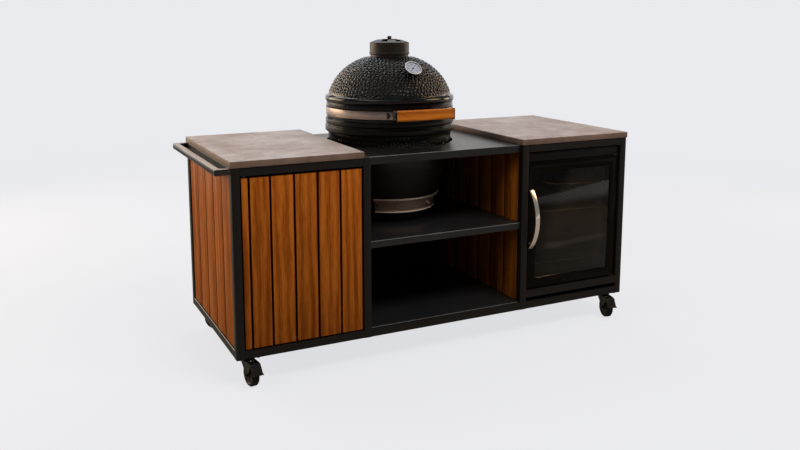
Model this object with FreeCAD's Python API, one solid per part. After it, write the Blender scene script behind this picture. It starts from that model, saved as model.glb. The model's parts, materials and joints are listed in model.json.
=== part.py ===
import FreeCAD, Part
import math
import os

from FreeCAD import Vector

# Outdoor kitchen cart: tube frame on casters, plank cabinet, ceramic charcoal oven and fridge.
# Drawing frame, in millimetres: x runs right from the frame's left face, y runs back from its
# front face, z runs up from the floor. save() moves every piece to the part's own origin.

# Frame
FRAME_LENGTH = 2000.0
FRAME_DEPTH = 800.0
POST_HEIGHT = 800.0
TUBE = 35.0
TUBE_WALL = 2.0
CABINET_SHARE = 0.268
FRIDGE_SHARE = 0.2725
CASTER_HEIGHT = 125.0
SHEET = 2.0

# Worktops
SLAB_THICKNESS = 28.0
SLAB_OVERHANG = 4.0
SLAB_LAP = 4.0
SLAB_EDGE = 1.5

# Push rail
RAIL_TUBE = 25.0
RAIL_GAP = 40.0

# Plank cladding
PLANK = 18.0
PLANK_RECESS = 6.0
PLANK_GAP = 5.0
PLANK_EDGE = 1.2
SIDE_PLANK_COUNT = 5
DIVIDER_PLANK_COUNT = 6
BATTEN_HEIGHT = 40.0
BATTEN_INSET = 60.0

# Cabinet door
DOOR_LEFT_GAP = 5.0
DOOR_RIGHT_GAP = 6.0
DOOR_TOP_GAP = 8.0
DOOR_BOTTOM_GAP = 5.0
DOOR_RECESS = 4.0
DOOR_PLANK_GAP = 7.0
DOOR_PLANK_COUNT = 6
DOOR_FIRST_PLANK = 28.0
DOOR_SECOND_PLANK = 82.0
DOOR_TRAY_DEPTH = 20.0
DOOR_TRAY_INSET = 2.0
DOOR_PIVOT_FROM_EDGE = 14.0
DOOR_PIVOT_FROM_FACE = 10.0
DOOR_PIN_RADIUS = 4.0
DOOR_PIN_REACH = 16.0
DOOR_PIN_COLLAR = 7.0
CATCH_WIDTH = 40.0
CATCH_DEPTH = 16.0
CATCH_HEIGHT = 20.0

# Shelves and steel top
BACK_PANEL_INSET = 18.0
SHELF_DROP = 372.0
SHELF_SHEET = 3.0
SHELF_SKIRT = 31.0
SHELF_RECESS = 15.0
BEARER_TUBE = 25.0
BEARER_FROM_AXIS = 120.0
TOP_SHEET = 3.0
TOP_SKIRT = 35.0
TOP_RECESS = 20.0
TOP_REAR_INSET = 3.0
TOP_HOLE_RADIUS = 309.0
HOLE_FROM_SIDE = 7.0
HOLE_FROM_BACK = 13.0

# Fridge
FRIDGE_SLOT = 20.0
FRIDGE_GAP = 4.0
FRIDGE_RECESS = 9.0
FRIDGE_BACK = 560.0
FRIDGE_WALL = 40.0
FRIDGE_FLOOR = 47.0
FRIDGE_ROOF = 86.0
FASCIA_HEIGHT = 44.0
BEARER_FROM_CASING = 20.0
MACHINE_DEPTH = 140.0
MACHINE_HEIGHT = 185.0
MACHINE_PLATE = 4.0
MACHINE_CHEEK = 10.0
BAFFLE_DEPTH = 83.0
COMPRESSOR_RADIUS = 62.0
COMPRESSOR_HEIGHT = 130.0
COMPRESSOR_SHOULDER = 100.0
COMPRESSOR_CROWN = 30.0
RACK_HEIGHTS = (67.0, 305.0, 424.0)
RACK_ROD = 5.0
RACK_WIRE = 3.0
RACK_WIRE_COUNT = 9
RACK_FRONT_GAP = 20.0
RACK_BACK_GAP = 14.0
RACK_SIDE_GAP = 2.0
LEDGE = 8.0

# Fridge door
FRIDGE_DOOR_DEPTH = 40.0
FRIDGE_DOOR_GAP = 4.0
FRIDGE_DOOR_RISE = 7.0
FRIDGE_STILE = 52.0
FRIDGE_SILL = 48.0
GLASS_RECESS = 1.0
GLASS_PANE = 5.0
GLASS_SPACE = 16.0
SEAL_WIDTH = 14.0
SEAL_INSET = 18.0
SEAL_DEPTH = 7.7
SEAL_CLEARANCE = 0.3
FRIDGE_PIVOT_FROM_EDGE = 14.0
FRIDGE_PIVOT_FROM_FACE = 8.0
FRIDGE_PIN_RADIUS = 4.0
FRIDGE_PIN_REACH = 12.0
FRIDGE_BRACKET = 2.5
HANDLE_LENGTH = 286.0
HANDLE_HEIGHT = 566.0
HANDLE_PROJECTION = 67.0
HANDLE_END_STAND = 12.0
HANDLE_STRAP = 5.0
HANDLE_WIDTH = 22.0
HANDLE_FROM_EDGE = 2.0
HANDLE_POST_RADIUS = 5.0
HANDLE_POST_FROM_END = 24.0

# Oven: heights are measured from the middle shelf, radii from the oven's upright axis
BAND_FIT = 0.2
LID_LIFT = 0.3
FOOT_HEIGHT = 12.0
FOOT_INNER = 155.0
FOOT_OUTER = 184.0
BASE_BOTTOM = (196.0, 12.0)
BASE_BELLY = (257.0, 215.0)
BASE_SHOULDER = (300.0, 407.0)
BASE_STEPS = 5
INNER_STEPS = 3
BASE_RIM = 487.0
BASE_WALL = 26.0
BASE_FLOOR = 30.0
BASE_BAND_BOTTOM = 421.0
BASE_BAND_GROOVE = 455.0
BASE_BAND_GROOVE_HEIGHT = 6.0
BASE_BAND_TOP = 485.0
BASE_BAND_LOWER = 14.0
BASE_BAND_UPPER = 12.0
BASE_BAND_CORE = 8.0
GASKET = 3.7
BOWL_CLEARANCE = 5.0
BOWL_WALL = 20.0
BOWL_TOP = 432.0
BOWL_FLOOR = 20.0
BOWL_SEAT_HEIGHT = 110.0
BOWL_SEAT_RADIUS = 124.0
RING_BOTTOM = 300.0
GRATE_THICKNESS = 8.0
GRATE_GAP = 3.0
GRATE_SLOT = 10.0
GRATE_SLOT_PITCH = 24.0
GRATE_SLOT_COUNT = 9
GRID_GAP = 8.0
GRID_BAR = 5.0
GRID_BAR_HEIGHT = 8.0
GRID_BAR_PITCH = 29.0
GRID_BAR_COUNT = 15
GRID_CROSS_FROM_AXIS = 130.0
SEAT_GAP = 0.3

# Oven lid
FLANGE_BOTTOM = 566.0
FLANGE_TOP = 595.0
FLANGE_RADIUS = 314.0
FLANGE_NECK = 306.0
FLANGE_STEPS = 4
DOME_FOOT_RADIUS = 297.0
DOME_FOOT_GAP = 2.0
DOME_SHOULDER_RADIUS = 228.0
DOME_SHOULDER_RISE = 0.6257
DOME_NECK_RADIUS = 93.0
DOME_RISE = 179.0
DOME_FOOT = (DOME_FOOT_RADIUS, FLANGE_TOP + DOME_FOOT_GAP)
DOME_SHOULDER = (DOME_SHOULDER_RADIUS, DOME_FOOT[1] + DOME_RISE * DOME_SHOULDER_RISE)
DOME_NECK = (DOME_NECK_RADIUS, DOME_FOOT[1] + DOME_RISE)
DOME_STEPS = 8
DOME_INNER_STEPS = 4
DOME_WALL = 24.0
CHIMNEY_RADIUS = 68.0
LID_BAND = 7.0
LID_BAND_BOTTOM = 493.0
LID_BAND_TOP = 565.0
STRAP = 2.4
STRAP_BOTTOM = 501.5
STRAP_TOP = 538.5
STRAP_END_ANGLE = 19.5
LID_HANDLE_LENGTH = 292.0
LID_HANDLE_HEIGHT = 48.0
LID_HANDLE_DEPTH = 32.0
LID_HANDLE_BOTTOM = 503.0
LID_HANDLE_FRONT = 383.0
LID_HANDLE_ROUND = 6.0
BRACKET = 6.0
BRACKET_LIP = 3.0
BRACKET_FOOT = 3.2
BRACKET_ANGLE = 21.5
BRACKET_FOOT_ANGLE = 8.0
BRACKET_MARGIN = 3.0

# Oven hinge
HINGE_FROM_AXIS = 345.0
HINGE_ABOVE_BAND = 3.0
HINGE_HEIGHT = BASE_BAND_TOP + HINGE_ABOVE_BAND
HINGE_PIN_RADIUS = 5.0
HINGE_BARREL_RADIUS = 11.0
HINGE_EAR_RADIUS = 14.0
HINGE_EAR = 8.0
HINGE_BARREL_LENGTH = 68.0
HINGE_SIDE_GAP = 6.0
HINGE_PLATE_DEPTH = 8.0
HINGE_BASE_DROP = 60.0
HINGE_BASE_HEIGHT = 42.0
HINGE_LID_RISE = 12.0
HINGE_LID_HEIGHT = 40.0

# Top vent
COLLAR_HEIGHT = 9.0
COLLAR_RADIUS = 92.0
VENT_TUBE_RADIUS = 87.0
VENT_TUBE_WALL = 5.0
VENT_DISC_HEIGHT = 46.0
VENT_DISC = 3.0
VENT_GAP = 0.4
CAP_RADIUS = 95.0
CAP_TOP_RADIUS = 56.0
CAP_WALL = 4.5
CAP_LIP = 2.0
CAP_LIP_HEIGHT = 9.0
CAP_SIDE = 58.0
CAP_RISE = 13.0
KNOB_RADIUS = 11.0
KNOB_NECK = 7.5
KNOB_NECK_HEIGHT = 5.0
KNOB_BULGE_HEIGHT = 12.0
KNOB_HEIGHT = 17.0
VENT_WINDOW_COUNT = 6
VENT_WINDOW_ANGLE = 28.0
VENT_WINDOW_INNER = 38.0
VENT_WINDOW_OUTER = 78.0
VENT_PIN_RADIUS = 4.0

# Thermometer
DIAL_ANGLE = 46.0
DIAL_STAND = 37.0
DIAL_RADIUS = 40.0
DIAL_DEPTH = 15.0
DIAL_BEZEL = 3.5
DIAL_RECESS = 5.0
LENS = 1.5
STEM_RADIUS = 6.0
STEM_REACH = 60.0
STEM_NUT_RADIUS = 13.0
STEM_NUT_LIFT = 3.5
NEEDLE_LENGTH = 27.0
NEEDLE_TAIL = 8.0
NEEDLE_HALF_WIDTH = 1.5
NEEDLE_TIP_HALF_WIDTH = 0.5
NEEDLE_HUB = 3.5
NEEDLE_THICKNESS = 1.0
NEEDLE_GAP = 0.8
NEEDLE_PIN_RADIUS = 1.5
NEEDLE_ANGLE = 225.0

# Draft vent
DRAFT_BOTTOM = 50.0
DRAFT_HEIGHT = 66.0
DRAFT_RAIL = 7.0
DRAFT_RAIL_DEPTH = 9.0
DRAFT_LIP = 4.0
DRAFT_LIP_DEPTH = 2.0
DRAFT_PLATE = 1.5
DRAFT_SEAT = 0.4
DRAFT_FROM_ANGLE = -44.0
DRAFT_TO_ANGLE = 72.0
DRAFT_WINDOW_ANGLE = 16.0
DRAFT_WINDOW_MARGIN = 11.0
DRAFT_DOOR = 2.0
DRAFT_DOOR_GAP = 0.6
DAMPER_FROM_ANGLE = -18.0
DAMPER_TO_ANGLE = 34.0
DRAFT_KNOB_ANGLE = 29.0
DRAFT_KNOB_RADIUS = 6.0
DRAFT_KNOB_LENGTH = 16.0

# Casters
CASTER_INSET_X = 60.0
CASTER_INSET_Y = 55.0
CASTER_PLATE_X = 95.0
CASTER_PLATE_Y = 85.0
CASTER_PLATE = 3.5
CASTER_TRAIL = 35.0
WHEEL_RADIUS = 50.0
WHEEL_WIDTH = 32.0
TYRE_EDGE = 5.0
HUB_RADIUS = 16.0
RACE_RADIUS = 26.0
RACE_HEIGHT = 6.0
RACE_GAP = 0.5
CUP_HEIGHT = 6.0
CROWN = 4.0
CROWN_RADIUS = 27.0
LEG = 3.0
LEG_GAP = 3.0
HUB_GAP = 0.5
KINGPIN_RADIUS = 6.0
KINGPIN_HEAD = 10.0
KINGPIN_HEAD_HEIGHT = 4.0
AXLE_RADIUS = 5.0
AXLE_HEAD = 8.0
AXLE_HEAD_HEIGHT = 4.0
RUN_FIT = 0.05
PEDAL_PIN_BACK = 32.0
PEDAL_PIN_RISE = 50.0
PEDAL_PIN_RADIUS = 3.0
PEDAL_BARREL = 7.0
PEDAL_BOSS = 8.0
PEDAL_REACH = 43.0
PEDAL_DROP = 32.0
PEDAL_THICKNESS = 4.0
PEDAL_ROOT = 10.0
CASTER_ANGLE = {"front_left": 8.6, "front_right": -13.4, "rear_left": 90.0, "rear_right": -70.0}

# Where things stand, worked out from the sizes above
CABINET_BAY = FRAME_LENGTH * CABINET_SHARE
FRIDGE_BAY = FRAME_LENGTH * FRIDGE_SHARE
POST_1 = 0.0
POST_2 = TUBE + CABINET_BAY
POST_4 = FRAME_LENGTH - TUBE
POST_3 = POST_4 - FRIDGE_BAY - TUBE
POSTS = (POST_1, POST_2, POST_3, POST_4)
REAR = FRAME_DEPTH - TUBE
FOOT = CASTER_HEIGHT
SILL = FOOT + TUBE
TOP = FOOT + POST_HEIGHT
HEAD = TOP - TUBE
SHELF = TOP - SHELF_DROP
CENTRE_LEFT = POST_2 + TUBE
CENTRE_RIGHT = POST_3
BACK_PANEL = FRAME_DEPTH - BACK_PANEL_INSET
OVEN_X = CENTRE_LEFT + HOLE_FROM_SIDE + TOP_HOLE_RADIUS
OVEN_Y = FRAME_DEPTH - HOLE_FROM_BACK - TOP_HOLE_RADIUS
FRIDGE_LEFT = POST_3 + TUBE + FRIDGE_GAP
FRIDGE_RIGHT = POST_4 - FRIDGE_GAP
FRIDGE_RAIL = SILL + FRIDGE_SLOT
FRIDGE_BOTTOM = FRIDGE_RAIL + TUBE
FRIDGE_TOP = HEAD - FRIDGE_GAP
FRIDGE_FRONT = FRIDGE_RECESS + FRIDGE_DOOR_DEPTH + SEAL_DEPTH + SEAL_CLEARANCE
FRIDGE_DOOR_BOTTOM = FRIDGE_BOTTOM + FRIDGE_DOOR_RISE
FRIDGE_DOOR_TOP = FRIDGE_TOP - FASCIA_HEIGHT - FRIDGE_DOOR_GAP
LID_BOTTOM = BASE_RIM + LID_LIFT + GASKET
BASE_RADIUS = BASE_SHOULDER[0]
STRAP_RADIUS = BASE_RADIUS + BAND_FIT + LID_BAND + BAND_FIT
AXIS = Vector(0, 0, 1)
HERE = Vector(0, 0, 0)

# The origin is under the middle of the whole cart's box, on the floor
REACH_LEFT = -(RAIL_GAP + RAIL_TUBE)
REACH_RIGHT = FRAME_LENGTH + SLAB_OVERHANG
REACH_FRONT = FRIDGE_RECESS - HANDLE_PROJECTION
REACH_REAR = OVEN_Y + HINGE_FROM_AXIS + HINGE_EAR_RADIUS
ORIGIN = Vector(-(REACH_LEFT + REACH_RIGHT) / 2, -(REACH_FRONT + REACH_REAR) / 2, 0)


def save(name, *solids):
    shape = solids[0] if len(solids) == 1 else Part.makeCompound(list(solids))
    placed = shape.copy()
    placed.translate(ORIGIN)
    placed.exportStep("parts/" + name + ".step")


def box(low, high):
    size = [b - a for a, b in zip(low, high)]
    return Part.makeBox(size[0], size[1], size[2], Vector(*low))


def cylinder(radius, low, high):
    start = Vector(*low)
    run = Vector(*high) - start
    return Part.makeCylinder(radius, run.Length, start, run)


def square_tube(low, high, run, wall=TUBE_WALL, closed=0.0):
    """A tube along axis run, bored from its high end, or from both ends if closed is 0."""
    bore_low = [v + wall for v in low]
    bore_high = [v - wall for v in high]
    bore_low[run] = low[run] + closed if closed else low[run] - wall
    bore_high[run] = high[run] + wall
    return box(low, high).cut(box(bore_low, bore_high))


def outline(start, *steps):
    """A closed face in the upright plane: a step is a point, or a middle and an end of an arc."""
    edges = []
    here = Vector(start[0], 0, start[1])
    first = here
    for step in steps:
        end = Vector(step[-2], 0, step[-1])
        if len(step) == 4:
            edges.append(Part.Arc(here, Vector(step[0], 0, step[1]), end).toShape())
        else:
            edges.append(Part.makeLine(here, end))
        here = end
    edges.append(Part.makeLine(here, first))
    return Part.Face(Part.Wire(edges))


def turned(face, first=0.0, last=360.0):
    """The outline turned about the upright axis; angles run from the front (-Y) towards +X."""
    solid = face.revolve(HERE, AXIS, last - first)
    solid.rotate(HERE, AXIS, first - 90)
    return solid


def slab_of(face, low, high):
    """An upright outline, drawn as y and z, made solid from x = low to x = high."""
    face.rotate(HERE, AXIS, 90)
    solid = face.extrude(Vector(high - low, 0, 0))
    solid.translate(Vector(low, 0, 0))
    return solid


def arc_circle(a, b, c):
    """Centre and radius of the circle through three outline points."""
    circle = Part.Arc(*[Vector(p[0], 0, p[1]) for p in (a, b, c)]).toShape().Curve
    return (circle.Center.x, circle.Center.z), circle.Radius


def faceted(a, b, c, count):
    """Points along the arc through three outline points, without the first."""
    arc = Part.Arc(*[Vector(p[0], 0, p[1]) for p in (a, b, c)]).toShape()
    return [(p.x, p.z) for p in arc.discretize(count + 1)[1:]]


def between(a, b, z):
    """The point at height z on the straight line from a to b."""
    share = (z - a[1]) / (b[1] - a[1])
    return (a[0] + share * (b[0] - a[0]), z)


def inset_arc(a, b, c, inset, low, high):
    """Start, middle and end of the same arc moved inwards, cut at two heights."""
    centre, radius = arc_circle(a, b, c)
    small = radius - inset
    middle = (low + high) / 2
    return [(centre[0] + math.sqrt(small**2 - (z - centre[1]) ** 2), z) for z in (low, middle, high)]


def at_oven(shape):
    moved = shape.copy()
    moved.translate(Vector(OVEN_X, OVEN_Y, SHELF))
    return moved


def planks_between(low, high, count, gap):
    """Start and end of each plank on a run with a gap at both ends."""
    width = (high - low - gap * (count + 1)) / count
    starts = [low + gap + i * (width + gap) for i in range(count)]
    return [(start, start + width) for start in starts]


def plank(low, high):
    """A plank with its upright edges eased."""
    solid = box(low, high)
    upright = [e for e in solid.Edges if abs(e.Vertexes[0].Z - e.Vertexes[1].Z) > PLANK]
    return solid.makeChamfer(PLANK_EDGE, upright)


def frame():
    posts = []
    for x in POSTS:
        for y in (0.0, REAR):
            post = box((x, y, FOOT), (x + TUBE, y + TUBE, TOP))
            bore = box(
                (x + TUBE_WALL, y + TUBE_WALL, FOOT - TUBE_WALL),
                (x + TUBE - TUBE_WALL, y + TUBE - TUBE_WALL, TOP - TUBE_WALL),
            )
            posts.append(post.cut(bore))
    save("frame_posts", *posts)

    rails = []
    bays = [(a + TUBE, b) for a, b in zip(POSTS, POSTS[1:])]
    for left, right in bays:
        levels = (FOOT,) if left == CENTRE_LEFT else (FOOT, HEAD)
        for y in (0.0, REAR):
            for z in levels:
                rails.append(square_tube((left, y, z), (right, y + TUBE, z + TUBE), 0))
    for x in POSTS:
        for z in (FOOT, HEAD):
            rails.append(square_tube((x, TUBE, z), (x + TUBE, REAR, z + TUBE), 1))
    save("frame_rails", *rails)


def bearers():
    rails = []
    for y in (0.0, REAR):
        low = (POST_3 + TUBE, y, FRIDGE_RAIL)
        rails.append(square_tube(low, (POST_4, y + TUBE, FRIDGE_BOTTOM), 0))
    for x in (FRIDGE_LEFT + BEARER_FROM_CASING, FRIDGE_RIGHT - BEARER_FROM_CASING - TUBE):
        rails.append(square_tube((x, TUBE, FRIDGE_RAIL), (x + TUBE, REAR, FRIDGE_BOTTOM), 1))
    top = SHELF - SHELF_SHEET
    bottom = top - BEARER_TUBE
    front = SHELF_RECESS + SHELF_SHEET
    back = BACK_PANEL - BEARER_TUBE
    for y in (front, back):
        rails.append(square_tube((CENTRE_LEFT, y, bottom), (CENTRE_RIGHT, y + BEARER_TUBE, top), 0))
    for x in (OVEN_X - BEARER_FROM_AXIS - BEARER_TUBE, OVEN_X + BEARER_FROM_AXIS):
        low = (x, front + BEARER_TUBE, bottom)
        rails.append(square_tube(low, (x + BEARER_TUBE, back, top), 1))
    save("bearer_rails", *rails)


def push_rail():
    low_z = TOP - RAIL_TUBE
    arms = []
    for y in (0.0, FRAME_DEPTH - RAIL_TUBE):
        arms.append(square_tube((REACH_LEFT, y, low_z), (0.0, y + RAIL_TUBE, TOP), 0, closed=TUBE_WALL))
    low = (REACH_LEFT, RAIL_TUBE, low_z)
    bar = square_tube(low, (REACH_LEFT + RAIL_TUBE, FRAME_DEPTH - RAIL_TUBE, TOP), 1)
    save("push_rail", bar, *arms)


def cladding():
    """Planks of both ends and of both centre walls, with the battens that carry them."""
    walls = (
        (POST_1 + PLANK_RECESS, POST_1 + TUBE, 1),
        (POST_4 + TUBE - PLANK_RECESS, POST_4, -1),
        (POST_2 + TUBE - PLANK_RECESS, POST_2, -1),
        (POST_3 + PLANK_RECESS, POST_3 + TUBE, 1),
    )
    sides = []
    dividers = []
    battens = []
    for index, (face, inside, way) in enumerate(walls):
        is_side = index < 2
        count = SIDE_PLANK_COUNT if is_side else DIVIDER_PLANK_COUNT
        back = face + way * PLANK
        for start, end in planks_between(TUBE, REAR, count, PLANK_GAP):
            low = (min(face, back), start, SILL)
            piece = plank(low, (max(face, back), end, HEAD))
            (sides if is_side else dividers).append(piece)
        middle = (SILL + HEAD - BATTEN_HEIGHT) / 2
        for z in (SILL + BATTEN_INSET, middle, HEAD - BATTEN_INSET - BATTEN_HEIGHT):
            low = (min(back, inside), TUBE, z)
            battens.append(box(low, (max(back, inside), REAR, z + BATTEN_HEIGHT)))
    save("side_planks", *sides)
    save("divider_planks", *dividers)
    save("plank_battens", *battens)


def sheets():
    """Backs, floor, bottom shelf, fridge baffle, middle shelf and the steel top."""
    cabinet_back = box((TUBE, BACK_PANEL, SILL), (POST_2, BACK_PANEL + SHEET, HEAD))
    centre_back = box((CENTRE_LEFT, BACK_PANEL, SILL), (CENTRE_RIGHT, BACK_PANEL + SHEET, HEAD))
    save("back_panels", cabinet_back, centre_back)

    door_back = DOOR_RECESS + PLANK + DOOR_TRAY_DEPTH
    floor_front = door_back + DOOR_LEFT_GAP
    save("cabinet_floor", box((TUBE, floor_front, SILL), (POST_2, BACK_PANEL, SILL + SHEET)))
    low = (CENTRE_LEFT, SHELF_RECESS, SILL)
    save("bottom_shelf", box(low, (CENTRE_RIGHT, BACK_PANEL, SILL + SHEET)))
    low = (POST_3 + TUBE, SHELF_RECESS, SILL)
    save("fridge_baffle", box(low, (POST_4, SHELF_RECESS + BAFFLE_DEPTH, SILL + SHEET)))

    low = (CENTRE_LEFT, SHELF_RECESS, SHELF - SHELF_SHEET)
    shelf = box(low, (CENTRE_RIGHT, BACK_PANEL, SHELF))
    low = (CENTRE_LEFT, SHELF_RECESS, SHELF - SHELF_SKIRT)
    skirt = box(low, (CENTRE_RIGHT, SHELF_RECESS + SHELF_SHEET, SHELF))
    save("middle_shelf", shelf.fuse(skirt).removeSplitter())

    low = (CENTRE_LEFT, TOP_RECESS, TOP - TOP_SKIRT)
    high = (CENTRE_RIGHT, FRAME_DEPTH - TOP_REAR_INSET, TOP)
    hollow = box(
        (low[0] + TOP_SHEET, low[1] + TOP_SHEET, low[2] - TOP_SHEET),
        (high[0] - TOP_SHEET, high[1] - TOP_SHEET, TOP - TOP_SHEET),
    )
    pan = box(low, high).cut(hollow)
    for post_left in (POST_2, POST_3):
        pan = pan.cut(box((post_left, REAR, low[2]), (post_left + TUBE, FRAME_DEPTH, TOP)))
    hole = cylinder(TOP_HOLE_RADIUS, (OVEN_X, OVEN_Y, low[2]), (OVEN_X, OVEN_Y, TOP + TOP_SHEET))
    rim = cylinder(TOP_HOLE_RADIUS, (OVEN_X, OVEN_Y, TOP - TOP_SHEET), (OVEN_X, OVEN_Y, TOP))
    save("grill_top", pan.cut(hole.fuse(rim)))


def worktops():
    spans = {
        "left_worktop": (-SLAB_OVERHANG, POST_2 + SLAB_LAP),
        "right_worktop": (POST_3 - SLAB_LAP, FRAME_LENGTH + SLAB_OVERHANG),
    }
    for name, (left, right) in spans.items():
        low = (left, -SLAB_OVERHANG, TOP)
        slab = box(low, (right, FRAME_DEPTH + SLAB_OVERHANG, TOP + SLAB_THICKNESS))
        save(name, slab.makeChamfer(SLAB_EDGE, slab.Edges))


def cabinet_door():
    left = TUBE + DOOR_LEFT_GAP
    right = POST_2 - DOOR_RIGHT_GAP
    bottom = SILL + DOOR_BOTTOM_GAP
    top = HEAD - DOOR_TOP_GAP
    front = DOOR_RECESS
    back = front + PLANK
    pivot_x = left + DOOR_PIVOT_FROM_EDGE
    pivot_y = front + DOOR_PIVOT_FROM_FACE

    third = left + DOOR_FIRST_PLANK + DOOR_SECOND_PLANK + 2 * DOOR_PLANK_GAP
    narrow = left + DOOR_FIRST_PLANK
    spans = [(left, narrow), (narrow + DOOR_PLANK_GAP, third - DOOR_PLANK_GAP)]
    equal = DOOR_PLANK_COUNT - len(spans)
    width = (right - third - DOOR_PLANK_GAP * (equal - 1)) / equal
    for index in range(equal):
        start = third + index * (width + DOOR_PLANK_GAP)
        spans.append((start, start + width))
    boards = [plank((start, front, bottom), (end, back, top)) for start, end in spans]
    bore = DOOR_PIN_RADIUS + RUN_FIT
    for low, high in ((bottom, bottom + DOOR_PIN_REACH), (top - DOOR_PIN_REACH, top)):
        hole = cylinder(bore, (pivot_x, pivot_y, low), (pivot_x, pivot_y, high))
        boards[0] = boards[0].cut(hole)
    save("door_planks", *boards)

    low = (left + DOOR_TRAY_INSET, back, bottom + DOOR_TRAY_INSET)
    high = (right - DOOR_TRAY_INSET, back + DOOR_TRAY_DEPTH, top - DOOR_TRAY_INSET)
    hollow = box(
        (low[0] + SHEET, low[1] + SHEET, low[2] + SHEET),
        (high[0] - SHEET, high[1] + SHEET, high[2] - SHEET),
    )
    save("door_tray", box(low, high).cut(hollow))

    pins = []
    for seat, collar_end, tip in (
        (SILL, bottom - SEAT_GAP, bottom + DOOR_PIN_REACH - SEAT_GAP),
        (HEAD, top + SEAT_GAP, top - DOOR_PIN_REACH + SEAT_GAP),
    ):
        pin = cylinder(DOOR_PIN_RADIUS, (pivot_x, pivot_y, seat), (pivot_x, pivot_y, tip))
        collar = cylinder(DOOR_PIN_COLLAR, (pivot_x, pivot_y, seat), (pivot_x, pivot_y, collar_end))
        pins.append(pin.fuse(collar).removeSplitter())
    save("door_pivots", *pins)

    catch_front = back + DOOR_TRAY_DEPTH + SEAT_GAP
    catch_right = right - DOOR_TRAY_INSET - SHEET
    low = (catch_right - CATCH_WIDTH, catch_front, top - DOOR_TRAY_INSET - CATCH_HEIGHT)
    save("magnet_catch", box(low, (catch_right, catch_front + CATCH_DEPTH, HEAD)))


def fridge_casing():
    inner_left = FRIDGE_LEFT + FRIDGE_WALL
    inner_right = FRIDGE_RIGHT - FRIDGE_WALL
    inner_back = FRIDGE_BACK - FRIDGE_WALL
    machine_front = FRIDGE_BACK - MACHINE_DEPTH
    machine_top = FRIDGE_BOTTOM + MACHINE_HEIGHT
    casing = box((FRIDGE_LEFT, FRIDGE_FRONT, FRIDGE_BOTTOM), (FRIDGE_RIGHT, FRIDGE_BACK, FRIDGE_TOP))
    low = (FRIDGE_LEFT, FRIDGE_RECESS, FRIDGE_TOP - FASCIA_HEIGHT)
    casing = casing.fuse(box(low, (FRIDGE_RIGHT, FRIDGE_FRONT, FRIDGE_TOP)))

    floor = FRIDGE_BOTTOM + FRIDGE_FLOOR
    roof = FRIDGE_TOP - FRIDGE_ROOF
    step = machine_front - FRIDGE_WALL
    mouth = FRIDGE_FRONT - SHEET
    room = outline(
        (mouth, floor),
        (step, floor),
        (step, machine_top + FRIDGE_WALL),
        (inner_back, machine_top + FRIDGE_WALL),
        (inner_back, roof),
        (mouth, roof),
    )
    casing = casing.cut(slab_of(room, inner_left, inner_right))
    low = (FRIDGE_LEFT + MACHINE_CHEEK, machine_front, FRIDGE_BOTTOM + MACHINE_PLATE)
    high = (FRIDGE_RIGHT - MACHINE_CHEEK, FRIDGE_BACK + SHEET, machine_top)
    casing = casing.cut(box(low, high))

    rack_front = FRIDGE_FRONT + RACK_FRONT_GAP
    rack_left = inner_left + RACK_SIDE_GAP
    rack_right = inner_right - RACK_SIDE_GAP
    racks = []
    for height in RACK_HEIGHTS:
        z = floor + height
        ledge_top = z - RACK_ROD / 2
        wall = step if ledge_top < machine_top + FRIDGE_WALL else inner_back
        rack_back = wall - RACK_BACK_GAP
        for low_x in (inner_left, inner_right - LEDGE):
            low = (low_x, rack_front, ledge_top - LEDGE)
            casing = casing.fuse(box(low, (low_x + LEDGE, rack_back, ledge_top)))
        racks.append(fridge_rack(rack_left, rack_right, rack_front, rack_back, z))
    save("fridge_cabinet", casing.removeSplitter())
    save("fridge_racks", *racks)

    middle = (FRIDGE_LEFT + FRIDGE_RIGHT) / 2
    seat = FRIDGE_BOTTOM + MACHINE_PLATE
    pot = turned(
        outline(
            (0.0, 0.0),
            (COMPRESSOR_RADIUS, 0.0),
            (COMPRESSOR_RADIUS, COMPRESSOR_SHOULDER),
            (COMPRESSOR_CROWN, COMPRESSOR_HEIGHT),
            (0.0, COMPRESSOR_HEIGHT),
        )
    )
    pot.translate(Vector(middle, machine_front + MACHINE_DEPTH / 2, seat))
    save("fridge_compressor", pot)


def fridge_rack(left, right, front, back, z):
    """A rack: two rods along the length, on the ledges, joined by bars across the depth."""
    rod = RACK_ROD / 2
    wire = RACK_WIRE / 2
    bars = []
    for y in (front, back - RACK_ROD):
        bars.append(box((left, y, z - rod), (right, y + RACK_ROD, z + rod)))
    pitch = (right - left - RACK_WIRE) / (RACK_WIRE_COUNT - 1)
    for index in range(RACK_WIRE_COUNT):
        x = left + index * pitch
        bars.append(box((x, front, z - wire), (x + RACK_WIRE, back, z + wire)))
    return bars[0].multiFuse(bars[1:]).removeSplitter()


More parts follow.
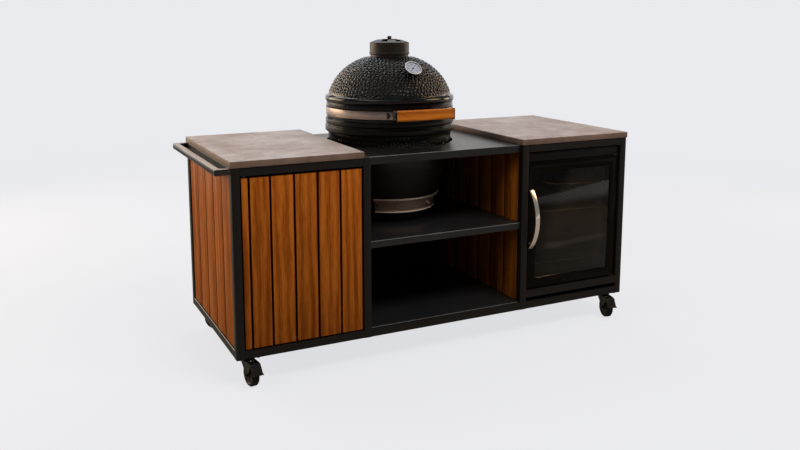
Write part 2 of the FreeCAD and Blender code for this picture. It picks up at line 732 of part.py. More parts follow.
def fridge_door():
    left = FRIDGE_LEFT
    right = FRIDGE_RIGHT
    front = FRIDGE_RECESS
    back = front + FRIDGE_DOOR_DEPTH
    bottom = FRIDGE_DOOR_BOTTOM
    top = FRIDGE_DOOR_TOP
    pivot_x = right - FRIDGE_PIVOT_FROM_EDGE
    pivot_y = front + FRIDGE_PIVOT_FROM_FACE
    window_low = (left + FRIDGE_STILE, bottom + FRIDGE_SILL)
    window_high = (right - FRIDGE_STILE, top - FRIDGE_SILL)

    low = (window_low[0], front - SHEET, window_low[1])
    opening = box(low, (window_high[0], back + SHEET, window_high[1]))
    leaf = box((left, front, bottom), (right, back, top)).cut(opening)
    bore = FRIDGE_PIN_RADIUS + RUN_FIT
    for low, high in ((bottom, bottom + FRIDGE_PIN_REACH), (top - FRIDGE_PIN_REACH, top)):
        leaf = leaf.cut(cylinder(bore, (pivot_x, pivot_y, low), (pivot_x, pivot_y, high)))
    save("fridge_door_frame", leaf)

    panes = []
    for y in (front + GLASS_RECESS, front + GLASS_RECESS + GLASS_PANE + GLASS_SPACE):
        low = (window_low[0], y, window_low[1])
        panes.append(box(low, (window_high[0], y + GLASS_PANE, window_high[1])))
    save("fridge_glass", *panes)

    low = (left + SEAL_INSET, back, bottom + SEAL_INSET)
    high = (right - SEAL_INSET, back + SEAL_DEPTH, top - SEAL_INSET)
    inside = box(
        (low[0] + SEAL_WIDTH, back - SHEET, low[2] + SEAL_WIDTH),
        (high[0] - SEAL_WIDTH, high[1] + SHEET, high[2] - SEAL_WIDTH),
    )
    save("fridge_seal", box(low, high).cut(inside))

    save("fridge_handle", bow_handle(left + HANDLE_FROM_EDGE, front))

    plate_back = FRIDGE_FRONT
    hinges = []
    fascia = FRIDGE_TOP - FASCIA_HEIGHT
    lower = bottom - FRIDGE_BRACKET - SEAT_GAP
    levels = (
        (lower, bottom + FRIDGE_PIN_REACH - SEAT_GAP),
        (fascia - FRIDGE_BRACKET, top - FRIDGE_PIN_REACH + SEAT_GAP),
    )
    for z, tip in levels:
        low = (pivot_x - FRIDGE_PIVOT_FROM_EDGE, pivot_y - FRIDGE_PIVOT_FROM_FACE, z)
        plate = box(low, (right, plate_back, z + FRIDGE_BRACKET))
        middle = z + FRIDGE_BRACKET / 2
        pin = cylinder(FRIDGE_PIN_RADIUS, (pivot_x, pivot_y, middle), (pivot_x, pivot_y, tip))
        hinges.append(plate.fuse(pin).removeSplitter())
    save("fridge_hinges", *hinges)


def bow_handle(left, face):
    """A bowed strap on two posts, standing in front of the door's face."""
    half = HANDLE_LENGTH / 2
    low = HANDLE_HEIGHT - half
    high = HANDLE_HEIGHT + half
    end = face - HANDLE_END_STAND
    crest = face - HANDLE_PROJECTION
    strap = outline(
        (end, low),
        (crest, HANDLE_HEIGHT, end, high),
        (end + HANDLE_STRAP, high),
        (crest + HANDLE_STRAP, HANDLE_HEIGHT, end + HANDLE_STRAP, low),
    )
    handle = slab_of(strap, left, left + HANDLE_WIDTH)
    middle = left + HANDLE_WIDTH / 2
    centre, radius = arc_circle((end, low), (crest, HANDLE_HEIGHT), (end, high))
    for z in (low + HANDLE_POST_FROM_END, high - HANDLE_POST_FROM_END):
        outer = centre[0] - math.sqrt(radius**2 - (z - centre[1]) ** 2)
        tip = outer + HANDLE_STRAP / 2
        handle = handle.fuse(cylinder(HANDLE_POST_RADIUS, (middle, face, z), (middle, tip, z)))
    return handle.removeSplitter()


def oven_base():
    rim = BASE_RIM
    radius = BASE_RADIUS
    floor = FOOT_HEIGHT + BASE_FLOOR
    shoulder = BASE_SHOULDER[1]
    inner = inset_arc(BASE_BOTTOM, BASE_BELLY, BASE_SHOULDER, BASE_WALL, floor, shoulder)
    bowl = outline(
        (0.0, FOOT_HEIGHT),
        (FOOT_INNER, FOOT_HEIGHT),
        (FOOT_INNER, 0.0),
        (FOOT_OUTER, 0.0),
        BASE_BOTTOM,
        *faceted(BASE_BOTTOM, BASE_BELLY, BASE_SHOULDER, BASE_STEPS),
        (radius, rim),
        (inner[2][0], rim),
        inner[2],
        *faceted(inner[2], inner[1], inner[0], INNER_STEPS),
        (0.0, floor),
    )
    window = draft_window(BASE_RADIUS)
    save("oven_base", at_oven(turned(bowl).cut(window)))

    inside = radius + BAND_FIT
    lower = radius + BASE_BAND_LOWER
    upper = radius + BASE_BAND_UPPER
    core = radius + BASE_BAND_CORE
    groove_top = BASE_BAND_GROOVE + BASE_BAND_GROOVE_HEIGHT
    ease = BASE_BAND_GROOVE_HEIGHT
    band = outline(
        (inside, BASE_BAND_BOTTOM),
        (lower - ease, BASE_BAND_BOTTOM),
        (lower, BASE_BAND_BOTTOM + ease),
        (lower, BASE_BAND_GROOVE - ease / 2),
        (core, BASE_BAND_GROOVE),
        (core, groove_top),
        (upper, groove_top + ease / 2),
        (upper, BASE_BAND_TOP),
        (inside, BASE_BAND_TOP),
    )
    save("base_band", at_oven(turned(band)))

    outer = inset_arc(BASE_BOTTOM, BASE_BELLY, BASE_SHOULDER, BASE_WALL + BOWL_CLEARANCE, floor, shoulder)
    seat = floor + BOWL_SEAT_HEIGHT
    thin = BASE_WALL + BOWL_CLEARANCE + BOWL_WALL
    hollow = inset_arc(BASE_BOTTOM, BASE_BELLY, BASE_SHOULDER, thin, seat, shoulder)
    split_outer = between(outer[0], outer[2], RING_BOTTOM)
    split_inner = between(hollow[0], hollow[2], RING_BOTTOM)
    fire_box = outline(
        (0.0, floor),
        outer[0],
        split_outer,
        split_inner,
        hollow[0],
        (BOWL_SEAT_RADIUS, seat),
        (BOWL_SEAT_RADIUS, floor + BOWL_FLOOR),
        (0.0, floor + BOWL_FLOOR),
    )
    fire_ring = outline(
        split_outer,
        outer[2],
        (outer[2][0], BOWL_TOP),
        (hollow[2][0], BOWL_TOP),
        hollow[2],
        split_inner,
    )
    save("fire_bowl", at_oven(turned(fire_box).cut(window)), at_oven(turned(fire_ring)))

    grate_radius = hollow[0][0] - GRATE_GAP
    grate = cylinder(grate_radius, (0, 0, seat), (0, 0, seat + GRATE_THICKNESS))
    first = -(GRATE_SLOT_COUNT - 1) / 2
    for index in range(GRATE_SLOT_COUNT):
        x = (first + index) * GRATE_SLOT_PITCH
        reach = math.sqrt(BOWL_SEAT_RADIUS**2 - x**2) - GRATE_SLOT
        low = (x - GRATE_SLOT / 2, -reach, seat - GRATE_GAP)
        grate = grate.cut(box(low, (x + GRATE_SLOT / 2, reach, seat + GRATE_THICKNESS + GRATE_GAP)))
    save("charcoal_grate", at_oven(grate))

    grid_radius = outer[2][0] - GRID_GAP
    bars = []
    first = -(GRID_BAR_COUNT - 1) / 2
    for index in range(GRID_BAR_COUNT):
        x = (first + index) * GRID_BAR_PITCH
        reach = math.sqrt(grid_radius**2 - x**2)
        low = (x - GRID_BAR / 2, -reach, BOWL_TOP)
        bars.append(at_oven(box(low, (x + GRID_BAR / 2, reach, BOWL_TOP + GRID_BAR_HEIGHT))))
    reach = -first * GRID_BAR_PITCH + GRID_BAR / 2
    for y in (-GRID_CROSS_FROM_AXIS, GRID_CROSS_FROM_AXIS):
        low = (-reach, y - GRID_BAR / 2, BOWL_TOP - GRID_BAR)
        bars.append(at_oven(box(low, (reach, y + GRID_BAR / 2, BOWL_TOP))))
    save("cooking_grid", *bars)


def draft_window(reach):
    """The air inlet cut through the front of the base and of the fire bowl."""
    low = DRAFT_BOTTOM + DRAFT_WINDOW_MARGIN
    high = DRAFT_BOTTOM + DRAFT_HEIGHT - DRAFT_WINDOW_MARGIN
    inner = BOWL_SEAT_RADIUS - BOWL_WALL
    face = outline((inner, low), (reach, low), (reach, high), (inner, high))
    return turned(face, -DRAFT_WINDOW_ANGLE, DRAFT_WINDOW_ANGLE)


def draft_vent():
    """Curved channel on the base with a damper that slides round the oven's axis."""
    centre, radius = arc_circle(BASE_BOTTOM, BASE_BELLY, BASE_SHOULDER)
    low = DRAFT_BOTTOM
    high = DRAFT_BOTTOM + DRAFT_HEIGHT
    foot = (centre[0] + math.sqrt(radius**2 - (low - centre[1]) ** 2), low)
    head = (centre[0] + math.sqrt(radius**2 - (high - centre[1]) ** 2), high)
    length = math.hypot(head[0] - foot[0], head[1] - foot[1])
    along = ((head[0] - foot[0]) / length, (head[1] - foot[1]) / length)

    def point(up, out):
        return (foot[0] + up * along[0] + out * along[1], foot[1] + up * along[1] - out * along[0])

    plate = DRAFT_SEAT + DRAFT_PLATE
    deep = DRAFT_RAIL_DEPTH
    lip = DRAFT_RAIL_DEPTH - DRAFT_LIP_DEPTH
    low_lip = DRAFT_RAIL + DRAFT_LIP
    high_rail = length - DRAFT_RAIL
    high_lip = high_rail - DRAFT_LIP
    channel = outline(
        point(0, DRAFT_SEAT),
        point(0, deep),
        point(low_lip, deep),
        point(low_lip, lip),
        point(DRAFT_RAIL, lip),
        point(DRAFT_RAIL, plate),
        point(high_rail, plate),
        point(high_rail, lip),
        point(high_lip, lip),
        point(high_lip, deep),
        point(length, deep),
        point(length, DRAFT_SEAT),
    )
    window = draft_window(BASE_RADIUS)
    curved = turned(channel, DRAFT_FROM_ANGLE, DRAFT_TO_ANGLE)
    save("draft_frame", at_oven(curved.cut(window)))

    inner = plate + DRAFT_DOOR_GAP
    outer = inner + DRAFT_DOOR
    bottom = DRAFT_RAIL + DRAFT_DOOR_GAP
    top = high_rail - DRAFT_DOOR_GAP
    door = outline(point(bottom, inner), point(bottom, outer), point(top, outer), point(top, inner))
    damper = turned(door, DAMPER_FROM_ANGLE, DAMPER_TO_ANGLE)
    start = point(length / 2, inner + DRAFT_DOOR / 2)
    end = point(length / 2, inner + DRAFT_KNOB_LENGTH)
    knob = cylinder(DRAFT_KNOB_RADIUS, (start[0], 0, start[1]), (end[0], 0, end[1]))
    knob.rotate(HERE, AXIS, DRAFT_KNOB_ANGLE - 90)
    save("draft_door", at_oven(damper.fuse(knob).removeSplitter()))


def oven_lid():
    radius = BASE_RADIUS
    inside = radius - BASE_WALL
    centre, dome_radius = arc_circle(DOME_FOOT, DOME_SHOULDER, DOME_NECK)
    small = dome_radius - DOME_WALL
    chimney_foot = centre[1] + math.sqrt(small**2 - (CHIMNEY_RADIUS - centre[0]) ** 2)
    inner = inset_arc(DOME_FOOT, DOME_SHOULDER, DOME_NECK, DOME_WALL, DOME_FOOT[1], chimney_foot)
    bead_middle = (FLANGE_RADIUS, (FLANGE_BOTTOM + FLANGE_TOP) / 2)
    bead = ((FLANGE_NECK, FLANGE_BOTTOM), bead_middle, (FLANGE_NECK, FLANGE_TOP))
    shell = outline(
        (inside, LID_BOTTOM),
        (radius, LID_BOTTOM),
        (radius, FLANGE_BOTTOM),
        bead[0],
        *faceted(*bead, FLANGE_STEPS),
        DOME_FOOT,
        *faceted(DOME_FOOT, DOME_SHOULDER, DOME_NECK, DOME_STEPS),
        (CHIMNEY_RADIUS, DOME_NECK[1]),
        inner[2],
        *faceted(inner[2], inner[1], inner[0], DOME_INNER_STEPS),
    )
    dome = turned(shell)
    stem_bore = on_dial_axis(Part.makeCylinder(STEM_RADIUS + BAND_FIT, dome_radius * 2))
    save("lid_dome", at_oven(dome.cut(stem_bore)))

    band_inner = radius + BAND_FIT
    band_outer = band_inner + LID_BAND
    band = outline(
        (band_inner, LID_BAND_BOTTOM),
        (band_outer, LID_BAND_BOTTOM),
        (band_outer, LID_BAND_TOP),
        (band_inner, LID_BAND_TOP),
    )
    save("lid_band", at_oven(turned(band)))

    gasket_bottom = LID_BOTTOM - GASKET
    gasket = outline(
        (inside, gasket_bottom),
        (radius, gasket_bottom),
        (radius, LID_BOTTOM),
        (inside, LID_BOTTOM),
    )
    save("lid_gasket", at_oven(turned(gasket)))

    strap_outer = STRAP_RADIUS + STRAP
    strap = outline(
        (STRAP_RADIUS, STRAP_BOTTOM),
        (strap_outer, STRAP_BOTTOM),
        (strap_outer, STRAP_TOP),
        (STRAP_RADIUS, STRAP_TOP),
    )
    save("handle_strap", at_oven(turned(strap, STRAP_END_ANGLE, 360.0 - STRAP_END_ANGLE)))

    half = LID_HANDLE_LENGTH / 2
    handle_low = (-half, -LID_HANDLE_FRONT, LID_HANDLE_BOTTOM)
    handle_top = LID_HANDLE_BOTTOM + LID_HANDLE_HEIGHT
    handle = box(handle_low, (half, LID_HANDLE_DEPTH - LID_HANDLE_FRONT, handle_top))
    long_edges = [e for e in handle.Edges if e.Length > half]
    save("lid_handle", at_oven(handle.makeFillet(LID_HANDLE_ROUND, long_edges)))

    save("handle_brackets", *[at_oven(handle_bracket(side, strap_outer + BAND_FIT)) for side in (-1, 1)])


def handle_bracket(side, foot_radius):
    """A foot on the strap, an arm flaring out to the handle's end and a cap over that end."""
    half = LID_HANDLE_LENGTH / 2
    low_z = STRAP_BOTTOM + BRACKET_MARGIN
    high_z = STRAP_TOP - BRACKET_MARGIN
    foot_face = outline(
        (foot_radius, low_z),
        (foot_radius + BRACKET_FOOT, low_z),
        (foot_radius + BRACKET_FOOT, high_z),
        (foot_radius, high_z),
    )
    foot = turned(foot_face, side * BRACKET_ANGLE, side * (BRACKET_ANGLE + BRACKET_FOOT_ANGLE))

    angle = math.radians(BRACKET_ANGLE)
    root = Vector(side * STRAP_RADIUS * math.sin(angle), -STRAP_RADIUS * math.cos(angle), low_z)
    end = Vector(side * half, LID_HANDLE_DEPTH - LID_HANDLE_FRONT, low_z)
    out = Vector(side * BRACKET, 0, 0)
    arm_face = Part.Face(Part.makePolygon([root, end, end + out, root + out, root]))
    clear = cylinder(foot_radius, (0, 0, LID_BOTTOM), (0, 0, FLANGE_TOP))
    arm = arm_face.extrude(Vector(0, 0, high_z - low_z)).cut(clear)

    near = side * half
    far = side * (half + BRACKET)
    low = (min(near, far), -LID_HANDLE_FRONT - BRACKET_LIP, LID_HANDLE_BOTTOM - BRACKET_LIP)
    high_y = LID_HANDLE_DEPTH - LID_HANDLE_FRONT + BRACKET_LIP
    cap = box(low, (max(near, far), high_y, LID_HANDLE_BOTTOM + LID_HANDLE_HEIGHT + BRACKET_LIP))
    return foot.fuse(arm).fuse(cap).removeSplitter()


def oven_hinge():
    """Rear hinge: two ears with a pin on the base band, a barrel on the lid strap."""
    pin_y = HINGE_FROM_AXIS
    base_bottom = HINGE_HEIGHT - HINGE_BASE_DROP
    base_top = base_bottom + HINGE_BASE_HEIGHT
    lid_bottom = HINGE_HEIGHT + HINGE_LID_RISE
    lid_top = lid_bottom + HINGE_LID_HEIGHT
    half_barrel = HINGE_BARREL_LENGTH / 2
    ear_inner = half_barrel + HINGE_SIDE_GAP
    ear_outer = ear_inner + HINGE_EAR
    band_outer = BASE_RADIUS + BASE_BAND_LOWER
    clear = cylinder(band_outer + BAND_FIT, (0, 0, 0), (0, 0, HINGE_HEIGHT * 2))
    plate_low = (-ear_outer, 0.0, base_bottom)
    plate = box(plate_low, (ear_outer, band_outer + HINGE_PLATE_DEPTH, base_top)).cut(clear)
    ear_face = outline(
        (band_outer, base_bottom),
        (band_outer + HINGE_PLATE_DEPTH, base_bottom),
        (pin_y + HINGE_EAR_RADIUS, HINGE_HEIGHT),
        (pin_y, HINGE_HEIGHT + HINGE_EAR_RADIUS, pin_y - HINGE_EAR_RADIUS, HINGE_HEIGHT),
        (band_outer, base_top),
    )
    bracket = plate
    for low in (-ear_outer, ear_inner):
        bracket = bracket.fuse(slab_of(ear_face.copy(), low, low + HINGE_EAR).cut(clear))
    bore = cylinder(HINGE_PIN_RADIUS, (-ear_outer, pin_y, HINGE_HEIGHT), (ear_outer, pin_y, HINGE_HEIGHT))
    bracket = bracket.cut(bore).removeSplitter()
    save("base_hinge", at_oven(bracket), at_oven(bore))

    strap_outer = STRAP_RADIUS + STRAP
    lid_clear = cylinder(strap_outer + BAND_FIT, (0, 0, 0), (0, 0, HINGE_HEIGHT * 2))
    block_low = (-half_barrel, 0.0, lid_bottom)
    block = box(block_low, (half_barrel, strap_outer + HINGE_PLATE_DEPTH, lid_top)).cut(lid_clear)
    arm_face = outline(
        (strap_outer, lid_bottom),
        (pin_y - HINGE_BARREL_RADIUS, HINGE_HEIGHT),
        (pin_y + HINGE_BARREL_RADIUS, HINGE_HEIGHT),
        (strap_outer + HINGE_PLATE_DEPTH, lid_top),
        (strap_outer, lid_top),
    )
    arm = slab_of(arm_face, -half_barrel, half_barrel).cut(lid_clear)
    ends = ((-half_barrel, pin_y, HINGE_HEIGHT), (half_barrel, pin_y, HINGE_HEIGHT))
    barrel = cylinder(HINGE_BARREL_RADIUS, *ends)
    knuckle = block.fuse(arm).fuse(barrel).cut(cylinder(HINGE_PIN_RADIUS + RUN_FIT, *ends))
    save("lid_hinge", at_oven(knuckle.removeSplitter()))


def window_cutters(low, high):
    face = outline(
        (VENT_WINDOW_INNER, low),
        (VENT_WINDOW_OUTER, low),
        (VENT_WINDOW_OUTER, high),
        (VENT_WINDOW_INNER, high),
    )
    cutters = []
    for index in range(VENT_WINDOW_COUNT):
        start = index * 360.0 / VENT_WINDOW_COUNT
        cutters.append(turned(face.copy(), start, start + VENT_WINDOW_ANGLE))
    return cutters


def top_vent():
    """Fixed collar with a slotted disc, and the slotted cap that turns over it."""
    seat = DOME_NECK[1]
    flange_top = seat + COLLAR_HEIGHT
    disc_top = flange_top + VENT_DISC_HEIGHT
    disc_bottom = disc_top - VENT_DISC
    bore = VENT_TUBE_RADIUS - VENT_TUBE_WALL
    cap_low = flange_top + VENT_GAP
    shoulder = cap_low + CAP_SIDE
    crown = shoulder + CAP_RISE
    under_crown = crown - CAP_WALL
    collar = outline(
        (bore, seat),
        (COLLAR_RADIUS, seat),
        (COLLAR_RADIUS, flange_top),
        (VENT_TUBE_RADIUS, flange_top),
        (VENT_TUBE_RADIUS, disc_top),
        (0.0, disc_top),
        (0.0, disc_bottom),
        (bore, disc_bottom),
    )
    body = turned(collar)
    for cutter in window_cutters(seat, crown):
        body = body.cut(cutter)
    pin = cylinder(VENT_PIN_RADIUS, (0, 0, disc_bottom), (0, 0, crown))
    save("vent_collar", at_oven(body.fuse(pin).removeSplitter()))

    inner = CAP_RADIUS - CAP_WALL
    cap = outline(
        (inner, cap_low),
        (CAP_RADIUS + CAP_LIP, cap_low),
        (CAP_RADIUS + CAP_LIP, cap_low + CAP_LIP_HEIGHT),
        (CAP_RADIUS, cap_low + CAP_LIP_HEIGHT + CAP_LIP),
        (CAP_RADIUS, shoulder),
        (CAP_TOP_RADIUS, crown),
        (0.0, crown),
        (0.0, under_crown),
        (CAP_TOP_RADIUS, under_crown),
        (inner, shoulder - CAP_WALL),
    )
    cover = turned(cap)
    for cutter in window_cutters(disc_top + VENT_GAP, crown):
        cover = cover.cut(cutter)
    knob = outline(
        (0.0, under_crown),
        (KNOB_RADIUS, under_crown),
        (KNOB_NECK, crown + KNOB_NECK_HEIGHT),
        (KNOB_RADIUS, crown + KNOB_BULGE_HEIGHT),
        (KNOB_NECK, crown + KNOB_HEIGHT),
        (0.0, crown + KNOB_HEIGHT),
    )
    hub = turned(knob)
    pin_hole = cylinder(VENT_PIN_RADIUS + RUN_FIT, (0, 0, seat), (0, 0, crown + VENT_GAP))
    save("vent_cap", at_oven(cover.fuse(hub).cut(pin_hole).removeSplitter()))


def on_dial_axis(shape):
    """Moves a shape built up the z axis to the thermometer's axis, measured from the dome's centre."""
    centre, _ = arc_circle(DOME_FOOT, DOME_SHOULDER, DOME_NECK)
    moved = shape.copy()
    moved.rotate(HERE, Vector(1, 0, 0), 90 - DIAL_ANGLE)
    moved.translate(Vector(0, -centre[0], centre[1]))
    return moved


def thermometer():
    _, dome_radius = arc_circle(DOME_FOOT, DOME_SHOULDER, DOME_NECK)
    face = dome_radius + DIAL_STAND
    back = face - DIAL_DEPTH
    floor = face - DIAL_RECESS
    case = cylinder(DIAL_RADIUS, (0, 0, back), (0, 0, face))
    case = case.cut(cylinder(DIAL_RADIUS - DIAL_BEZEL, (0, 0, floor), (0, 0, face)))
    stem = cylinder(STEM_RADIUS, (0, 0, dome_radius - STEM_REACH), (0, 0, back))
    nut_low = dome_radius + BAND_FIT + STEM_NUT_LIFT
    nut = cylinder(STEM_NUT_RADIUS, (0, 0, nut_low), (0, 0, back))
    pin = cylinder(NEEDLE_PIN_RADIUS, (0, 0, floor), (0, 0, floor + NEEDLE_GAP + NEEDLE_THICKNESS))
    case = case.fuse(stem).fuse(nut).fuse(pin).removeSplitter()
    save("thermometer_case", at_oven(on_dial_axis(case)))

    lens = cylinder(DIAL_RADIUS - DIAL_BEZEL, (0, 0, face - LENS), (0, 0, face))
    save("thermometer_lens", at_oven(on_dial_axis(lens)))

    low = floor + NEEDLE_GAP
    points = (
        (-NEEDLE_TAIL, -NEEDLE_HALF_WIDTH),
        (NEEDLE_LENGTH, -NEEDLE_TIP_HALF_WIDTH),
        (NEEDLE_LENGTH, NEEDLE_TIP_HALF_WIDTH),
        (-NEEDLE_TAIL, NEEDLE_HALF_WIDTH),
    )
    corners = [Vector(x, y, low) for x, y in points]
    blade = Part.Face(Part.makePolygon(corners + corners[:1])).extrude(Vector(0, 0, NEEDLE_THICKNESS))
    hub = cylinder(NEEDLE_HUB, (0, 0, low), (0, 0, low + NEEDLE_THICKNESS))
    bore = cylinder(NEEDLE_PIN_RADIUS + RUN_FIT, (0, 0, floor), (0, 0, face))
    needle = blade.fuse(hub).cut(bore).removeSplitter()
    needle.rotate(HERE, AXIS, NEEDLE_ANGLE)
    save("thermometer_needle", at_oven(on_dial_axis(needle)))


def caster_places():
    left = CASTER_INSET_X
    right = FRAME_LENGTH - CASTER_INSET_X
    front = CASTER_INSET_Y
    rear = FRAME_DEPTH - CASTER_INSET_Y
    return {
        "front_left": (left, front),
        "front_right": (right, front),
        "rear_left": (left, rear),
        "rear_right": (right, rear),
    }


def casters():
    """Four swivel casters, drawn with the wheel trailing to the front of the upright swivel axis."""
    plate_low = CASTER_HEIGHT - CASTER_PLATE
    race_low = plate_low - RACE_HEIGHT
    cup_top = race_low - RACE_GAP
    crown_top = cup_top - CUP_HEIGHT
    crown_low = crown_top - CROWN
    head_top = crown_low - RACE_GAP
    half_x = CASTER_PLATE_X / 2
    half_y = CASTER_PLATE_Y / 2
    plate = box((-half_x, -half_y, plate_low), (half_x, half_y, CASTER_HEIGHT))
    race = cylinder(RACE_RADIUS, (0, 0, race_low), (0, 0, CASTER_HEIGHT))
    kingpin = cylinder(KINGPIN_RADIUS, (0, 0, head_top - KINGPIN_HEAD_HEIGHT), (0, 0, CASTER_HEIGHT))
    head = cylinder(KINGPIN_HEAD, (0, 0, head_top - KINGPIN_HEAD_HEIGHT), (0, 0, head_top))
    top_plate = plate.fuse(race).fuse(kingpin).fuse(head).removeSplitter()

    fork, axle, pin = caster_fork(cup_top, crown_top, crown_low)
    wheel = caster_wheel()
    pedal = brake_pedal()

    plates = []
    for name, (x, y) in caster_places().items():
        turn = CASTER_ANGLE[name]
        place = Vector(x, y, 0)

        def put(shape, angle):
            moved = shape.copy()
            moved.rotate(HERE, AXIS, angle)
            moved.translate(place)
            return moved

        plates.append(put(top_plate, 0.0))
        save("caster_fork_" + name, *[put(shape, turn) for shape in (fork, axle, pin)])
        save("caster_wheel_" + name, put(wheel, turn))
        save("brake_pedal_" + name, put(pedal, turn))
    save("caster_plates", *plates)


def caster_fork(cup_top, crown_top, crown_low):
    leg_inner = WHEEL_WIDTH / 2 + LEG_GAP
    leg_outer = leg_inner + LEG
    axle_y = -CASTER_TRAIL
    axle_z = WHEEL_RADIUS
    pin_y = axle_y - PEDAL_PIN_BACK
    pin_z = axle_z + PEDAL_PIN_RISE
    foot = AXLE_RADIUS + LEG
    leg_face = outline(
        (CROWN_RADIUS, crown_top),
        (CROWN_RADIUS, crown_low),
        (axle_y + foot, axle_z),
        (axle_y, axle_z - foot, axle_y - foot, axle_z),
        (pin_y - PEDAL_BOSS / 2, pin_z - PEDAL_BOSS),
        (pin_y - PEDAL_BOSS, pin_z, pin_y, pin_z + PEDAL_BOSS),
        (-CROWN_RADIUS, crown_top),
    )
    fork = box((-leg_outer, -CROWN_RADIUS, crown_low), (leg_outer, CROWN_RADIUS, crown_top))
    for low in (-leg_outer, leg_inner):
        fork = fork.fuse(slab_of(leg_face.copy(), low, low + LEG))
    fork = fork.fuse(cylinder(RACE_RADIUS, (0, 0, crown_top), (0, 0, cup_top)))
    reach = leg_outer + AXLE_HEAD_HEIGHT
    axle_ends = ((-reach, axle_y, axle_z), (reach, axle_y, axle_z))
    pin_ends = ((-leg_outer, pin_y, pin_z), (leg_outer, pin_y, pin_z))
    fork = fork.cut(cylinder(AXLE_RADIUS + RUN_FIT, *axle_ends))
    fork = fork.cut(cylinder(PEDAL_PIN_RADIUS + RUN_FIT, *pin_ends))
    fork = fork.cut(cylinder(KINGPIN_RADIUS + RUN_FIT, (0, 0, crown_low), (0, 0, cup_top)))
    axle = cylinder(AXLE_RADIUS, *axle_ends)
    for low, high in ((-reach, -leg_outer), (leg_outer, reach)):
        axle = axle.fuse(cylinder(AXLE_HEAD, (low, axle_y, axle_z), (high, axle_y, axle_z)))
    pin = cylinder(PEDAL_PIN_RADIUS, *pin_ends)
    return fork.removeSplitter(), axle.removeSplitter(), pin


def caster_wheel():
    """Tyre and hub bonded in one piece, with the hub standing out at both sides."""
    half = WHEEL_WIDTH / 2
    hub_half = half + LEG_GAP - HUB_GAP
    bore = AXLE_RADIUS + RUN_FIT
    shoulder = WHEEL_RADIUS - TYRE_EDGE
    profile = outline(
        (bore, -hub_half),
        (HUB_RADIUS, -hub_half),
        (HUB_RADIUS, -half),
        (shoulder, -half),
        (WHEEL_RADIUS, -half + TYRE_EDGE),
        (WHEEL_RADIUS, half - TYRE_EDGE),
        (shoulder, half),
        (HUB_RADIUS, half),
        (HUB_RADIUS, hub_half),
        (bore, hub_half),
    )
    wheel = turned(profile)
    wheel.rotate(HERE, Vector(0, 1, 0), 90)
    wheel.translate(Vector(0, -CASTER_TRAIL, WHEEL_RADIUS))
    return wheel


def brake_pedal():
    leg_inner = WHEEL_WIDTH / 2 + LEG_GAP
    barrel_half = leg_inner - HUB_GAP
    plate_half = leg_inner + LEG
    pin_y = -CASTER_TRAIL - PEDAL_PIN_BACK
    pin_z = WHEEL_RADIUS + PEDAL_PIN_RISE
    tip_y = pin_y - PEDAL_REACH
    tip_z = pin_z - PEDAL_DROP
    root_y = pin_y - PEDAL_ROOT
    root_z = pin_z + PEDAL_BARREL - PEDAL_THICKNESS
    thick = PEDAL_THICKNESS
    plate_face = outline(
        (root_y, root_z),
        (tip_y + PEDAL_ROOT, tip_z),
        (tip_y, tip_z),
        (tip_y, tip_z + thick),
        (tip_y + PEDAL_ROOT, tip_z + thick),
        (root_y, root_z + thick),
    )
    neck_face = outline(
        (pin_y, pin_z),
        (root_y, root_z),
        (root_y, root_z + thick),
        (pin_y, pin_z + PEDAL_BARREL),
    )
    barrel = cylinder(PEDAL_BARREL, (-barrel_half, pin_y, pin_z), (barrel_half, pin_y, pin_z))
    pedal = barrel.fuse(slab_of(neck_face, -barrel_half, barrel_half))
    pedal = pedal.fuse(slab_of(plate_face, -plate_half, plate_half))
    bore = cylinder(PEDAL_PIN_RADIUS + RUN_FIT, (-barrel_half, pin_y, pin_z), (barrel_half, pin_y, pin_z))
    return pedal.cut(bore).removeSplitter()


os.makedirs("parts", exist_ok=True)
frame()
bearers()
push_rail()
cladding()
sheets()
worktops()
cabinet_door()
fridge_casing()
fridge_door()
oven_base()
draft_vent()
oven_lid()
oven_hinge()
top_vent()
thermometer()
casters()
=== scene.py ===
import bisect
import json
import math
import random

import bmesh
import bpy
from mathutils import Matrix, Vector
from mathutils.kdtree import KDTree

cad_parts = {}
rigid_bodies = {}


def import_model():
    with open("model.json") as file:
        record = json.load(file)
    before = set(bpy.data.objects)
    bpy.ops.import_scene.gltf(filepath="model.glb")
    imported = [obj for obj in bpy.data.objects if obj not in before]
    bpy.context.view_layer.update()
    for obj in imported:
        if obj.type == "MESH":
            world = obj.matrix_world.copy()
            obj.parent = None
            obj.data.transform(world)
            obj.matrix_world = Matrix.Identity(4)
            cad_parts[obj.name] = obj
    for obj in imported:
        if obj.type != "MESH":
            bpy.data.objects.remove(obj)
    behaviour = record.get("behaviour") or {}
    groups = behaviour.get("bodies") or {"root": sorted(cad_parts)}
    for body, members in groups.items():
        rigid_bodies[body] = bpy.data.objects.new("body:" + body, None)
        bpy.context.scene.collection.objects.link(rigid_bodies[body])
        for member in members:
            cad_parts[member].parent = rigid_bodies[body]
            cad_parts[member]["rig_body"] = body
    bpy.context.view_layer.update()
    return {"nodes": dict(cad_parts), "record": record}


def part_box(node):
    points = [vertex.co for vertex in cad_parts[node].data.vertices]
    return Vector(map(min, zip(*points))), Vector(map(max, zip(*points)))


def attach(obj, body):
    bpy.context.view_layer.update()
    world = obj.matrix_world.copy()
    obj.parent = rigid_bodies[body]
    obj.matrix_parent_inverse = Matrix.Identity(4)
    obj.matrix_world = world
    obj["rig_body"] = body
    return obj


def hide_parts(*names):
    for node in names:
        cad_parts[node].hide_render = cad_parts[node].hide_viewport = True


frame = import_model()
nodes = frame["nodes"]
dice = random.Random(7)


# Shader building blocks

